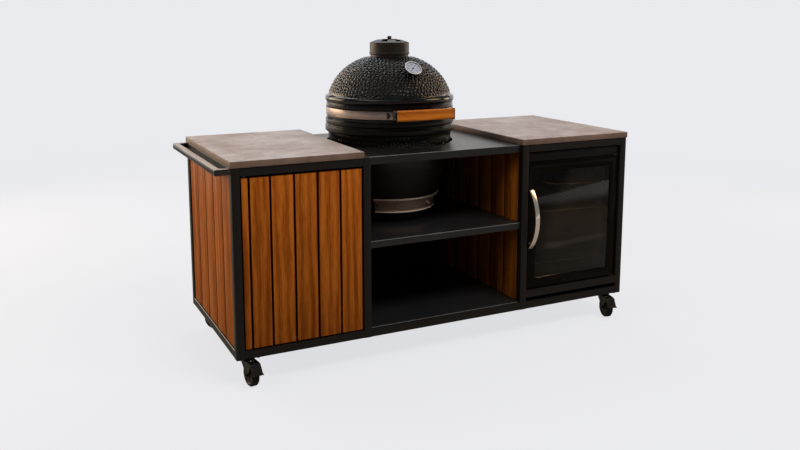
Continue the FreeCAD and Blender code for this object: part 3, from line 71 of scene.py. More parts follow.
def fill(tree, node, sockets):
    """Fills a node's sockets; each takes a plain value or another node's output."""
    for name, value in sockets.items():
        if isinstance(value, bpy.types.NodeSocket):
            tree.links.new(value, node.inputs[name])
        else:
            node.inputs[name].default_value = value


def put(tree, kind, settings=None, sockets=None):
    """Adds one shader node."""
    made = tree.nodes.new("ShaderNode" + kind)
    for name, value in (settings or {}).items():
        setattr(made, name, value)
    fill(tree, made, sockets or {})
    return made


def stretched(tree, vector, scale):
    return put(tree, "Mapping", None, {"Vector": vector, "Scale": scale}).outputs["Vector"]


def noise(tree, vector, scale, detail=3.0, roughness=0.5, distortion=0.0):
    sockets = {
        "Vector": vector,
        "Scale": scale,
        "Detail": detail,
        "Roughness": roughness,
        "Distortion": distortion,
    }
    return put(tree, "TexNoise", None, sockets).outputs[0]


def sums(tree, operation, first, second):
    return put(tree, "Math", {"operation": operation}, {0: first, 1: second}).outputs[0]


def weighed(tree, first, share, second, other_share):
    """Two values, each times its share, added up."""
    parts = sums(tree, "MULTIPLY", first, share), sums(tree, "MULTIPLY", second, other_share)
    return sums(tree, "ADD", *parts)


def remap(tree, value, low, high, to_low, to_high):
    sockets = {"Value": value, "From Min": low, "From Max": high, "To Min": to_low, "To Max": to_high}
    return put(tree, "MapRange", None, sockets).outputs[0]


def mixed(tree, factor, first, second, how="MIX"):
    settings = {"data_type": "RGBA", "blend_type": how}
    return put(tree, "Mix", settings, {0: factor, 6: first, 7: second}).outputs[2]


def ramp(tree, value, stops):
    made = put(tree, "ValToRGB", None, {"Fac": value})
    band = made.color_ramp
    while len(band.elements) < len(stops):
        band.elements.new(0.5)
    for element, (place, colour) in zip(band.elements, stops):
        element.position = place
        element.color = (*colour, 1.0)
    return made.outputs["Color"]


def bump(tree, height, strength, distance):
    sockets = {"Height": height, "Strength": strength, "Distance": distance}
    return put(tree, "Bump", None, sockets).outputs["Normal"]


def place_of(tree):
    return put(tree, "TexCoord").outputs["Object"]


def new_finish(name):
    material = bpy.data.materials.new(name)
    material.use_nodes = True
    return material, material.node_tree, material.node_tree.nodes["Principled BSDF"]


def effect_group(name, inputs, outputs):
    """An empty shader group with its named sockets; returns the tree and its two end nodes."""
    tree = bpy.data.node_groups.new(name, "ShaderNodeTree")
    for kind, socket in inputs:
        tree.interface.new_socket(socket, in_out="INPUT", socket_type="NodeSocket" + kind)
    for kind, socket in outputs:
        tree.interface.new_socket(socket, in_out="OUTPUT", socket_type="NodeSocket" + kind)
    return tree, tree.nodes.new("NodeGroupInput"), tree.nodes.new("NodeGroupOutput")


def use_effect(tree, group, sockets):
    return put(tree, "Group", {"node_tree": group}, sockets)


# Effects that several finishes share

def board_grain_effect():
    """Long streaks, arched rings and short pores of a sawn board, running along Z."""
    tree, start, end = effect_group(
        "board_grain",
        [("Vector", "Place"), ("Float", "Board")],
        [("Float", "Tone"), ("Float", "Height")],
    )
    apart = put(tree, "CombineXYZ", None, {
        "X": sums(tree, "MULTIPLY", start.outputs["Board"], 3.1),
        "Y": sums(tree, "MULTIPLY", start.outputs["Board"], 1.7),
        "Z": sums(tree, "MULTIPLY", start.outputs["Board"], 9.0),
    }).outputs["Vector"]
    moved = put(tree, "VectorMath", {"operation": "ADD"}, {0: start.outputs["Place"], 1: apart}).outputs[0]
    broad = noise(tree, stretched(tree, moved, (15.0, 15.0, 1.6)), 1.0, 3.0, 0.5, 0.8)
    fine = noise(tree, stretched(tree, moved, (230.0, 230.0, 4.2)), 1.0, 4.0, 0.62)
    pores = noise(tree, stretched(tree, moved, (620.0, 620.0, 22.0)), 1.0, 2.0, 0.5)
    rings = put(tree, "TexWave", {"wave_type": "RINGS", "rings_direction": "Z"}, {
        "Vector": stretched(tree, moved, (1.0, 1.0, 0.16)),
        "Scale": 9.0,
        "Distortion": 5.0,
        "Detail": 3.0,
        "Detail Scale": 1.6,
        "Detail Roughness": 0.55,
    }).outputs["Fac"]
    streaks = weighed(tree, broad, 0.32, fine, 0.50)
    tone = sums(tree, "ADD", streaks, sums(tree, "MULTIPLY", rings, 0.18))
    pits = remap(tree, pores, 0.36, 0.5, 0.0, 1.0)
    tone = sums(tree, "MULTIPLY", tone, remap(tree, pits, 0.0, 1.0, 0.8, 1.0))
    fill(tree, end, {"Tone": tone, "Height": weighed(tree, fine, 0.5, pits, 0.5)})
    return tree


def coat_grain_effect():
    """Fine orange peel with soft wear patches, for sprayed, moulded and cast skins."""
    tree, start, end = effect_group(
        "coat_grain",
        [("Vector", "Place"), ("Float", "Scale")],
        [("Float", "Patch"), ("Float", "Height")],
    )
    place = start.outputs["Place"]
    peel = noise(tree, place, start.outputs["Scale"], 2.0, 0.55)
    wide = noise(tree, place, 4.0, 4.0, 0.6)
    close = noise(tree, place, 38.0, 3.0, 0.6)
    fill(tree, end, {"Patch": weighed(tree, wide, 0.6, close, 0.4), "Height": peel})
    return tree


def brushing_effect():
    """Hairlines left by a brush: very long in one direction, which Stretch sets."""
    tree, start, end = effect_group(
        "brushing",
        [("Vector", "Place"), ("Vector", "Stretch")],
        [("Float", "Hairs"), ("Float", "Cloud")],
    )
    lined = put(tree, "VectorMath", {"operation": "MULTIPLY"}, {
        0: start.outputs["Place"],
        1: start.outputs["Stretch"],
    }).outputs[0]
    hairs = noise(tree, lined, 1.0, 4.0, 0.65)
    cloud = noise(tree, start.outputs["Place"], 9.0, 3.0, 0.55)
    fill(tree, end, {"Hairs": hairs, "Cloud": cloud})
    return tree


board_grain = board_grain_effect()
coat_grain = coat_grain_effect()
brushing = brushing_effect()


# Finishes

def oiled_wood(name, dark, middle, light, gloss, attribute=None, along="Z"):
    """Oiled wood; attribute names the layer that sets the boards of one piece apart."""
    material, tree, shader = new_finish(name)
    place = place_of(tree)
    if along == "X":
        parts = put(tree, "SeparateXYZ", None, {0: place}).outputs
        turned_round = {"X": parts["Z"], "Y": parts["Y"], "Z": parts["X"]}
        place = put(tree, "CombineXYZ", None, turned_round).outputs["Vector"]
    board = 0.37
    if attribute:
        board = put(tree, "Attribute", {"attribute_name": attribute}).outputs["Fac"]
    grain = use_effect(tree, board_grain, {"Place": place, "Board": board})
    colour = ramp(tree, grain.outputs["Tone"], [(0.30, dark), (0.45, middle), (0.60, light)])
    if attribute:
        shade = remap(tree, board, 0.0, 1.0, 0.88, 1.10)
        grey = put(tree, "CombineColor", None, {0: shade, 1: shade, 2: shade}).outputs[0]
        colour = mixed(tree, 1.0, colour, grey, "MULTIPLY")
    fill(tree, shader, {
        "Base Color": colour,
        "Roughness": remap(tree, grain.outputs["Tone"], 0.2, 0.7, 0.62, 0.42),
        "Normal": bump(tree, grain.outputs["Height"], 0.35, 0.0006),
        "Specular IOR Level": gloss,
    })
    return material


def powder_coat(name, dark, light, rough, peel=1100.0, depth=0.12, gloss=0.25):
    """A sprayed, cast or moulded skin; peel is the fineness of its orange peel, depth its strength."""
    material, tree, shader = new_finish(name)
    skin = use_effect(tree, coat_grain, {"Place": place_of(tree), "Scale": peel})
    patch = skin.outputs["Patch"]
    fill(tree, shader, {
        "Base Color": ramp(tree, patch, [(0.3, dark), (0.7, light)]),
        "Roughness": remap(tree, patch, 0.3, 0.7, *rough),
        "Normal": bump(tree, skin.outputs["Height"], depth, 0.0004),
        "Specular IOR Level": gloss,
    })
    return material


def brushed_metal(name, dark, light, rough, stretch, metal=1.0):
    """A brushed metal; stretch sets the way of its hairlines, metal how far a haze covers it."""
    material, tree, shader = new_finish(name)
    lines = use_effect(tree, brushing, {"Place": place_of(tree), "Stretch": stretch})
    hairs = lines.outputs["Hairs"]
    tone = weighed(tree, hairs, 0.6, lines.outputs["Cloud"], 0.4)
    fill(tree, shader, {
        "Base Color": ramp(tree, tone, [(0.3, dark), (0.7, light)]),
        "Roughness": remap(tree, hairs, 0.3, 0.7, *rough),
        "Normal": bump(tree, hairs, 0.08, 0.0003),
        "Metallic": metal,
    })
    return material


def cast_slab():
    """Grey cement slab with brown clouds, fine sand, a few open pores, and a darker, browner colour on
    faces that do not face up.
    """
    material, tree, shader = new_finish("cast_slab")
    place = place_of(tree)
    clouds = noise(tree, place, 4.2, 5.0, 0.62, 0.5)
    trowel = noise(tree, stretched(tree, place, (13.0, 17.0, 15.0)), 1.0, 5.0, 0.65, 1.2)
    sand = noise(tree, place, 260.0, 2.0, 0.6)
    tone = weighed(tree, clouds, 0.55, trowel, 0.45)
    colour = ramp(tree, tone, [
        (0.34, (0.228, 0.163, 0.135)),
        (0.47, (0.318, 0.256, 0.236)),
        (0.60, (0.408, 0.356, 0.350)),
    ])
    # faces that do not face up get a darker, browner colour
    normal = put(tree, "TexCoord").outputs["Normal"]
    upward = put(tree, "SeparateXYZ", None, {0: normal}).outputs["Z"]
    top = remap(tree, upward, 0.55, 0.9, 0.0, 1.0)
    cut = ramp(tree, tone, [(0.36, (0.125, 0.078, 0.058)), (0.62, (0.215, 0.142, 0.112))])
    colour = mixed(tree, top, cut, colour)
    grit = ramp(tree, sand, [(0.3, (0.80, 0.79, 0.78)), (0.62, (1.05, 1.05, 1.05))])
    colour = mixed(tree, 0.7, colour, grit, "MULTIPLY")
    cells = put(tree, "TexVoronoi", None, {"Vector": place, "Scale": 95.0}).outputs["Distance"]
    pores = remap(tree, cells, 0.04, 0.11, 0.0, 1.0)
    colour = mixed(tree, remap(tree, pores, 0.0, 1.0, 0.4, 0.0), colour, (0.09, 0.07, 0.06, 1.0))
    fill(tree, shader, {
        "Base Color": colour,
        "Roughness": remap(tree, tone, 0.3, 0.7, 0.56, 0.44),
        "Normal": bump(tree, weighed(tree, sand, 0.4, pores, 0.6), 0.22, 0.0005),
        "Specular IOR Level": 0.3,
    })
    return material


def dimpled_glaze():
    """Black glaze, glossy above the steel top and dulled by dust and soot below it."""
    material, tree, shader = new_finish("dimpled_glaze")
    place = place_of(tree)
    skin = use_effect(tree, coat_grain, {"Place": place, "Scale": 260.0})
    patch = skin.outputs["Patch"]
    height = put(tree, "SeparateXYZ", None, {0: place}).outputs["Z"]
    dust = remap(tree, height, 0.80, 0.92, 0.50, 0.0)
    fill(tree, shader, {
        "Base Color": ramp(tree, patch, [(0.3, (0.0022, 0.0021, 0.0021)), (0.7, (0.0055, 0.0052, 0.0050))]),
        "Roughness": sums(tree, "ADD", remap(tree, patch, 0.3, 0.7, 0.09, 0.14), dust),
        "Normal": bump(tree, skin.outputs["Height"], 0.06, 0.0010),
        "Specular IOR Level": 0.42,
    })
    return material


def fired_clay():
    """Bare clay with clouds of soot."""
    material, tree, shader = new_finish("fired_clay")
    place = place_of(tree)
    soot = noise(tree, place, 11.0, 5.0, 0.65, 0.6)
    sand = noise(tree, place, 330.0, 2.0, 0.6)
    fill(tree, shader, {
        "Base Color": ramp(tree, soot, [(0.3, (0.11, 0.085, 0.065)), (0.7, (0.42, 0.33, 0.25))]),
        "Roughness": remap(tree, sand, 0.3, 0.7, 0.95, 0.75),
        "Normal": bump(tree, sand, 0.4, 0.0008),
    })
    return material


def smoked_glass():
    """Brown tinted pane with faint smears."""
    material, tree, shader = new_finish("smoked_glass")
    smear = noise(tree, stretched(tree, place_of(tree), (5.0, 5.0, 2.0)), 1.0, 3.0, 0.5, 0.3)
    fill(tree, shader, {
        "Base Color": ramp(tree, smear, [(0.3, (0.60, 0.52, 0.43)), (0.7, (0.68, 0.60, 0.50))]),
        "Roughness": remap(tree, smear, 0.3, 0.7, 0.0, 0.012),
        "Transmission Weight": 1.0,
        "IOR": 1.3,
        "Specular IOR Level": 0.3,
    })
    return material


def dial_lens():
    """Thin clear lens, kept clear by its alpha."""
    material, tree, shader = new_finish("dial_lens")
    haze = noise(tree, place_of(tree), 60.0, 2.0, 0.5)
    fill(tree, shader, {
        "Base Color": (0.05, 0.05, 0.05, 1.0),
        "Roughness": remap(tree, haze, 0.3, 0.7, 0.0, 0.02),
        "Alpha": 0.12,
    })
    return material


def dial_enamel():
    """Pale enamel of the dial's face."""
    material, tree, shader = new_finish("dial_enamel")
    grain = use_effect(tree, coat_grain, {"Place": place_of(tree), "Scale": 700.0})
    patch = grain.outputs["Patch"]
    fill(tree, shader, {
        "Base Color": ramp(tree, patch, [(0.3, (0.47, 0.50, 0.61)), (0.7, (0.57, 0.615, 0.74))]),
        "Roughness": remap(tree, grain.outputs["Height"], 0.3, 0.7, 0.45, 0.6),
    })
    return material


def felt_rope():
    """Dark matted fibres of the gasket."""
    material, tree, shader = new_finish("felt_rope")
    fibres = noise(tree, place_of(tree), 700.0, 3.0, 0.7)
    fill(tree, shader, {
        "Base Color": ramp(tree, fibres, [(0.3, (0.012, 0.012, 0.012)), (0.7, (0.04, 0.039, 0.037))]),
        "Roughness": 0.95,
        "Normal": bump(tree, fibres, 0.6, 0.0008),
    })
    return material


# Looks of the woods, of the painted, cast and moulded skins, and of the metals; colours are linear

wood_looks = {
    "board_teak": dict(
        dark=(0.187, 0.0395, 0.0042), middle=(0.338, 0.083, 0.0086), light=(0.488, 0.139, 0.0165),
        gloss=0.05, attribute="board",
    ),
    "board_inner": dict(
        dark=(0.176, 0.041, 0.0048), middle=(0.318, 0.086, 0.0098), light=(0.460, 0.144, 0.0180),
        gloss=0.05, attribute="board",
    ),
    # painted shade: near-black wood for the plank sides, standing in for the shade in the gaps between
    # boards
    "board_gap_shade": dict(
        dark=(0.030, 0.0065, 0.0008), middle=(0.055, 0.0125, 0.0012), light=(0.085, 0.022, 0.0022),
        gloss=0.05, attribute="board",
    ),
    "handle_teak": dict(
        dark=(0.26, 0.066, 0.006), middle=(0.46, 0.125, 0.011), light=(0.60, 0.19, 0.022),
        gloss=0.2, along="X",
    ),
}
coat_looks = {
    "black_steel": dict(dark=(0.0062, 0.0052, 0.0048), light=(0.0100, 0.0085, 0.0079), rough=(0.40, 0.52)),
    "inside_steel": dict(
        dark=(0.004, 0.0035, 0.003), light=(0.007, 0.006, 0.0052), rough=(0.5, 0.65), gloss=0.12,
    ),
    "top_plate": dict(
        dark=(0.006, 0.0056, 0.0056), light=(0.0115, 0.0108, 0.0108), rough=(0.26, 0.36), gloss=0.35,
    ),
    # black coat with a lighter bluish tone that is a painted sheen
    "shelf_sheen_steel": dict(
        dark=(0.0085, 0.0088, 0.0098), light=(0.0140, 0.0145, 0.0160),
        rough=(0.28, 0.40), peel=1200.0, depth=0.1, gloss=0.4,
    ),
    # Painted highlights: pale coats put on rounded-over edges, standing in for the light those edges catch
    "edge_highlight_paint": dict(
        dark=(0.115, 0.118, 0.123), light=(0.26, 0.266, 0.275),
        rough=(0.35, 0.5), peel=1200.0, depth=0.1, gloss=0.4,
    ),
    "left_edge_highlight_paint": dict(
        dark=(0.27, 0.275, 0.28), light=(0.46, 0.465, 0.47),
        rough=(0.35, 0.5), peel=1200.0, depth=0.1, gloss=0.4,
    ),
    "rail_coat": dict(
        dark=(0.0085, 0.0068, 0.0056), light=(0.0135, 0.0110, 0.0092),
        rough=(0.16, 0.24), depth=0.05, gloss=0.5,
    ),
    # painted reflection: a pale warm coat for the push rail's top faces, standing in for the bright
    # backdrop they mirror
    "rail_top_reflection": dict(
        dark=(0.23, 0.165, 0.125), light=(0.36, 0.27, 0.215), rough=(0.3, 0.42), depth=0.05, gloss=0.4,
    ),
    "band_black": dict(
        dark=(0.0020, 0.0014, 0.0009), light=(0.0036, 0.0026, 0.0017),
        rough=(0.18, 0.28), peel=900.0, depth=0.06, gloss=0.16,
    ),
    "rack_wire": dict(
        dark=(0.020, 0.017, 0.014), light=(0.034, 0.029, 0.024),
        rough=(0.3, 0.4), peel=900.0, depth=0.1, gloss=0.5,
    ),
    "cast_vent": dict(
        dark=(0.0062, 0.0044, 0.0031), light=(0.0145, 0.0102, 0.0072),
        rough=(0.36, 0.50), peel=520.0, depth=0.25, gloss=0.3,
    ),
    "grate_iron": dict(
        dark=(0.012, 0.012, 0.012), light=(0.04, 0.036, 0.033), rough=(0.5, 0.75), peel=420.0, depth=0.4,
    ),
    "black_caster": dict(
        dark=(0.006, 0.0056, 0.0052), light=(0.013, 0.012, 0.0112),
        rough=(0.34, 0.5), peel=800.0, depth=0.2,
    ),
    "tyre_rubber": dict(
        dark=(0.006, 0.006, 0.0058), light=(0.013, 0.0125, 0.012),
        rough=(0.55, 0.8), peel=900.0, depth=0.35,
    ),
    "fridge_liner": dict(
        dark=(0.052, 0.040, 0.028), light=(0.074, 0.058, 0.041), rough=(0.5, 0.65), peel=1500.0, depth=0.1,
    ),
    "fridge_shell": dict(
        dark=(0.0030, 0.0023, 0.0017), light=(0.0052, 0.0041, 0.0032),
        rough=(0.34, 0.46), peel=1500.0, depth=0.1, gloss=0.15,
    ),
    "gloss_black": dict(
        dark=(0.0026, 0.0019, 0.0013), light=(0.0042, 0.0032, 0.0023),
        rough=(0.14, 0.22), peel=1600.0, depth=0.02, gloss=0.06,
    ),
    "needle_black": dict(dark=(0.006, 0.006, 0.006), light=(0.012, 0.012, 0.012), rough=(0.4, 0.5)),
}
metal_looks = {
    "strap_steel": dict(
        dark=(0.27, 0.205, 0.17), light=(0.46, 0.36, 0.31),
        rough=(0.22, 0.36), stretch=(18.0, 18.0, 900.0),
    ),
    # brushed steel whose warm bronze tone and matt share are a painted warm reflection
    "draft_steel": dict(
        dark=(0.42, 0.31, 0.225), light=(0.66, 0.50, 0.375),
        rough=(0.3, 0.44), stretch=(18.0, 18.0, 900.0), metal=0.6,
    ),
    # painted highlight: near-white, nearly matt steel, so the draft rims shine under any light
    "rim_highlight_steel": dict(
        dark=(0.92, 0.72, 0.56), light=(1.0, 0.88, 0.75),
        rough=(0.16, 0.24), stretch=(18.0, 18.0, 500.0), metal=0.1,
    ),
    "bow_steel": dict(
        dark=(0.74, 0.66, 0.58), light=(0.95, 0.87, 0.79),
        rough=(0.16, 0.28), stretch=(900.0, 25.0, 25.0), metal=0.85,
    ),
    "plated_steel": dict(
        dark=(0.2, 0.2, 0.2), light=(0.36, 0.36, 0.35), rough=(0.3, 0.5), stretch=(160.0, 160.0, 160.0),
    ),
    # painted highlight: pale, mostly matt steel, so the bezel looks bright under any light
    "bezel_highlight_steel": dict(
        dark=(0.55, 0.56, 0.59), light=(0.72, 0.73, 0.76),
        rough=(0.25, 0.4), stretch=(160.0, 160.0, 160.0), metal=0.3,
    ),
    "dark_bolt": dict(
        dark=(0.06, 0.05, 0.045), light=(0.13, 0.11, 0.1), rough=(0.3, 0.5), stretch=(260.0, 260.0, 260.0),
    ),
    "bright_wire": dict(
        dark=(0.5, 0.5, 0.5), light=(0.75, 0.75, 0.74), rough=(0.15, 0.3), stretch=(300.0, 300.0, 300.0),
    ),
}
finishes = {
    "cast_slab": cast_slab(),
    "dimpled_glaze": dimpled_glaze(),
    "fired_clay": fired_clay(),
    "smoked_glass": smoked_glass(),
    "dial_lens": dial_lens(),
    "dial_enamel": dial_enamel(),
    "felt_rope": felt_rope(),
}
finishes.update({name: oiled_wood(name, **look) for name, look in wood_looks.items()})
finishes.update({name: powder_coat(name, **look) for name, look in coat_looks.items()})
finishes.update({name: brushed_metal(name, **look) for name, look in metal_looks.items()})


# Mesh building blocks

def finished(mesh, name, finish, body, slot, *stands_for, smooth=30.0, place=None, second=None):
    """Turns a bmesh into a named piece, gives it its finish and sets it on its body."""
    if place is not None:
        mesh.transform(place)
    data = bpy.data.meshes.new(name)
    mesh.to_mesh(data)
    mesh.free()
    data.shade_smooth()
    data.set_sharp_from_angle(angle=math.radians(smooth))
    data.materials.append(finishes[finish])
    if second:
        data.materials.append(finishes[second])
    piece = bpy.data.objects.new(name, data)
    bpy.context.scene.collection.objects.link(piece)
    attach(piece, body)
    if stands_for:
        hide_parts(*stands_for)


def body_of(name):
    return nodes[name]["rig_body"]


def slot_of(name):
    rows = frame["record"]["subparts"]
    return next(row["material_slot"] for row in rows if row["node"] == name)


def stand_in(mesh, name, finish, node, **more):
    """A piece that takes the place of a CAD node, on the node's body."""
    finished(mesh, name, finish, body_of(node), slot_of(node), node, **more)


def joint_of(name):
    """Place and axis of a joint."""
    row = next(row for row in frame["record"]["behaviour"]["joints"] if row["name"] == name)
    return Vector(row["pos_m"]), Vector(row["axis"])


def merged(name):
    """A CAD node's mesh with its triangles joined and its flat faces whole again."""
    mesh = bmesh.new()
    mesh.from_mesh(nodes[name].data)
    bmesh.ops.remove_doubles(mesh, verts=mesh.verts, dist=0.00001)
    bmesh.ops.dissolve_limit(mesh, angle_limit=math.radians(0.5), verts=mesh.verts, edges=mesh.edges)
    return mesh


def solid_boxes(name):
    """Lowest and highest corner of each separate solid of a CAD node, sorted."""
    mesh = merged(name)
    waiting = set(mesh.verts)
    boxes = []
    while waiting:
        front = [waiting.pop()]
        found = list(front)
        while front:
            vertex = front.pop()
            for edge in vertex.link_edges:
                other = edge.other_vert(vertex)
                if other in waiting:
                    waiting.remove(other)
                    front.append(other)
                    found.append(other)
        low = Vector([min(v.co[i] for v in found) for i in range(3)])
        high = Vector([max(v.co[i] for v in found) for i in range(3)])
        boxes.append((low, high))
    mesh.free()
    return sorted(boxes, key=lambda pair: tuple(round(c, 5) for c in pair[0]))


def bevelled(mesh, edges, width, segments=2):
    """Rounds edges over and gives back the faces that do it."""
    return bmesh.ops.bevel(
        mesh, geom=edges, offset=width, offset_type="OFFSET", segments=segments, profile=0.5,
        affect="EDGES", material=-1, clamp_overlap=True,
    )["faces"]


def sharp_edges(mesh, shortest):
    """The long sharp edges, apart from those that end where two solids touch."""
    limit = math.radians(35.0)
    return [
        e for e in mesh.edges
        if e.is_manifold and e.calc_face_angle(0.0) > limit and e.calc_length() > shortest
        and all(v.is_manifold for v in e.verts)
    ]


def box_between(mesh, low, high, width):
    """A box with its edges rounded over; gives back the faces that do it."""
    made = bmesh.ops.create_cube(mesh, size=1.0)["verts"]
    bmesh.ops.scale(mesh, vec=high - low, verts=made)
    bmesh.ops.translate(mesh, vec=(high + low) / 2, verts=made)
    return bevelled(mesh, list({e for v in made for e in v.link_edges}), width)


def eased(name, finish, width, shortest=0.0, segments=2, highlight_finish=None, highlight_left=False):
    """A copy of a CAD node with its sharp edges rounded over; a second finish, if given, is a painted
    highlight on the rounded upper front edges.

    With the left flag set, that painted highlight is on the upper edges at the left end instead.
    """
    mesh = merged(name)
    rounded_over = bevelled(mesh, sharp_edges(mesh, shortest), width, segments)
    # the rounded faces on the chosen upper edges take the pale second finish as a painted highlight
    if highlight_finish:
        left_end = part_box(name)[0].x + 0.005
        for face in rounded_over:
            face.normal_update()
            at_left = face.normal.x < -0.3 and face.calc_center_median().x < left_end
            outward = at_left if highlight_left else face.normal.y < -0.3
            if face.normal.z > 0.3 and outward:
                face.material_index = 1
    stand_in(mesh, name + "_eased", finish, name, second=highlight_finish)


def rounded(name, finish):
    """A copy of a turned CAD node with smooth shading."""
    mesh = bmesh.new()
    mesh.from_mesh(nodes[name].data)
    bmesh.ops.remove_doubles(mesh, verts=mesh.verts, dist=0.00001)
    stand_in(mesh, name + "_turned", finish, name)


def boards(name, finish, width=0.0016):
    """Every plank of a CAD node as a board of its own, with rounded edges, its own grain and painted shade
    on its side faces.
    """
    mesh = bmesh.new()
    layer = mesh.verts.layers.float.new("board")
    for low, high in solid_boxes(name):
        rounded_over = box_between(mesh, low, high, width)
        number = dice.random()
        reached = {v for f in rounded_over for v in f.verts}
        for v in reached:
            v[layer] = number
        thin = min(range(3), key=lambda axis: high[axis] - low[axis])
        for face in {f for v in reached for f in v.link_faces}:
            face.normal_update()
            # side and rounded faces take the near-black wood as painted shade in the gaps
            if abs(face.normal[thin]) < 0.95:
                face.material_index = 1
    stand_in(mesh, name + "_boards", finish, name, second="board_gap_shade")


def softened(points, radius, steps=3, keep=()):
    """A closed outline with its corners rounded over, apart from those numbered in keep."""
    result = []
    for index, corner in enumerate(points):
        here = Vector(corner)
        before = Vector(points[index - 1]) - here
        after = Vector(points[(index + 1) % len(points)]) - here
        cut = min(radius, before.length * 0.45, after.length * 0.45)
        if index in keep:
            result.append(tuple(here))
            continue
        start = here + before.normalized() * cut
        end = here + after.normalized() * cut
        for step in range(steps + 1):
            t = step / steps
            result.append(tuple(start * (1 - t) ** 2 + here * 2 * t * (1 - t) + end * t**2))
    return result


def steps_between(low, high, count):
    return [low + (high - low) * step / count for step in range(count + 1)]


def circle_through(a, b, c):
    """Centre and radius of the circle through three points."""
    (ax, ay), (bx, by), (cx, cy) = a, b, c
    d = 2 * (ax * (by - cy) + bx * (cy - ay) + cx * (ay - by))
    a2, b2, c2 = ax**2 + ay**2, bx**2 + by**2, cx**2 + cy**2
    x = (a2 * (by - cy) + b2 * (cy - ay) + c2 * (ay - by)) / d
    y = (a2 * (cx - bx) + b2 * (ax - cx) + c2 * (bx - ax)) / d
    return Vector((x, y)), math.hypot(ax - x, ay - y)


def arc_rows(a, b, c, count):
    """Points from a to c along the arc through b, both ends included."""
    centre, radius = circle_through(a, b, c)
    start = math.atan2(a[1] - centre.y, a[0] - centre.x)
    end = math.atan2(c[1] - centre.y, c[0] - centre.x)
    angles = [start + (end - start) * step / count for step in range(count + 1)]
    return [(centre.x + radius * math.cos(t), centre.y + radius * math.sin(t)) for t in angles]


def spun(mesh, loop, columns, first=0.0, last=360.0, windows=(), inside=()):
    """A closed outline of radius and height, in mm, turned about Z from the front towards +X.

    A window is cut through between two runs of rows, given as low and high outer row, high and low
    inner row, then its first and last angle. Faces of the rows in inside get the second finish.
    """
    whole = last - first > 359.9
    known = {*mesh.verts, *mesh.edges, *mesh.faces}
    row_of = mesh.verts.layers.int.get("row") or mesh.verts.layers.int.new("row")
    start = Matrix.Rotation(math.radians(first), 4, "Z")
    outline = []
    for number, (radius, height) in enumerate(loop):
        outline.append(mesh.verts.new(start @ Vector((0.0, -radius / 1000, height / 1000))))
        outline[number][row_of] = number
    edges = [mesh.edges.new((outline[number - 1], outline[number])) for number in range(len(outline))]
    doublings = 3 if whole and columns % 8 == 0 else 0
    sweep = math.radians(last - first) / 2**doublings
    end = bmesh.ops.spin(
        mesh, geom=outline + edges, cent=(0, 0, 0), axis=(0, 0, 1), angle=sweep,
        steps=columns // 2**doublings, use_merge=whole and not doublings,
    )["geom_last"]
    made = [part for kind in (mesh.verts, mesh.edges, mesh.faces) for part in kind if part not in known]
    for _ in range(doublings):
        copy = bmesh.ops.duplicate(mesh, geom=made)["geom"]
        moved = [part for part in copy if isinstance(part, bmesh.types.BMVert)]
        bmesh.ops.rotate(mesh, cent=(0, 0, 0), matrix=Matrix.Rotation(sweep, 3, "Z"), verts=moved)
        made += copy
        sweep *= 2
    joined = [part for part in made if isinstance(part, bmesh.types.BMVert)]
    bmesh.ops.remove_doubles(mesh, verts=joined, dist=0.000004)
    if not whole:
        bmesh.ops.edgeloop_fill(mesh, edges=edges)
        bmesh.ops.edgeloop_fill(mesh, edges=[e for e in end if isinstance(e, bmesh.types.BMEdge)])

    def row_under(face):
        rows = {vertex[row_of] for vertex in face.verts}
        return max(rows) if rows == {0, len(loop) - 1} else min(rows)

    if inside:
        for face in mesh.faces:
            face.material_index = 1 if row_under(face) in inside else 0
    for low, high, inner_high, inner_low, begin, stop in windows:
        rows = [*range(low, high), *range(inner_high, inner_low)]
        middle = math.radians((begin + stop) / 2)
        facing = Vector((math.sin(middle), -math.cos(middle)))
        reach = math.radians(stop - begin) / 2
        gone = [
            f for f in mesh.faces
            if row_under(f) in rows and abs(f.calc_center_median().xy.angle(facing, math.pi)) < reach
        ]
        rim = {e for f in gone for e in f.edges}
        bmesh.ops.delete(mesh, geom=gone, context="FACES")
        bmesh.ops.bridge_loops(mesh, edges=[e for e in rim if e.is_valid and e.is_boundary])


def closed_up(mesh):
    """The mesh with its seams joined and its faces turned outwards."""
    bmesh.ops.remove_doubles(mesh, verts=mesh.verts, dist=0.000004)
    bmesh.ops.recalc_face_normals(mesh, faces=mesh.faces)
    return mesh


def turned(loop, columns, first=0.0, last=360.0):
    """A mesh turned from one outline."""
    mesh = bmesh.new()
    spun(mesh, loop, columns, first, last)
    return closed_up(mesh)


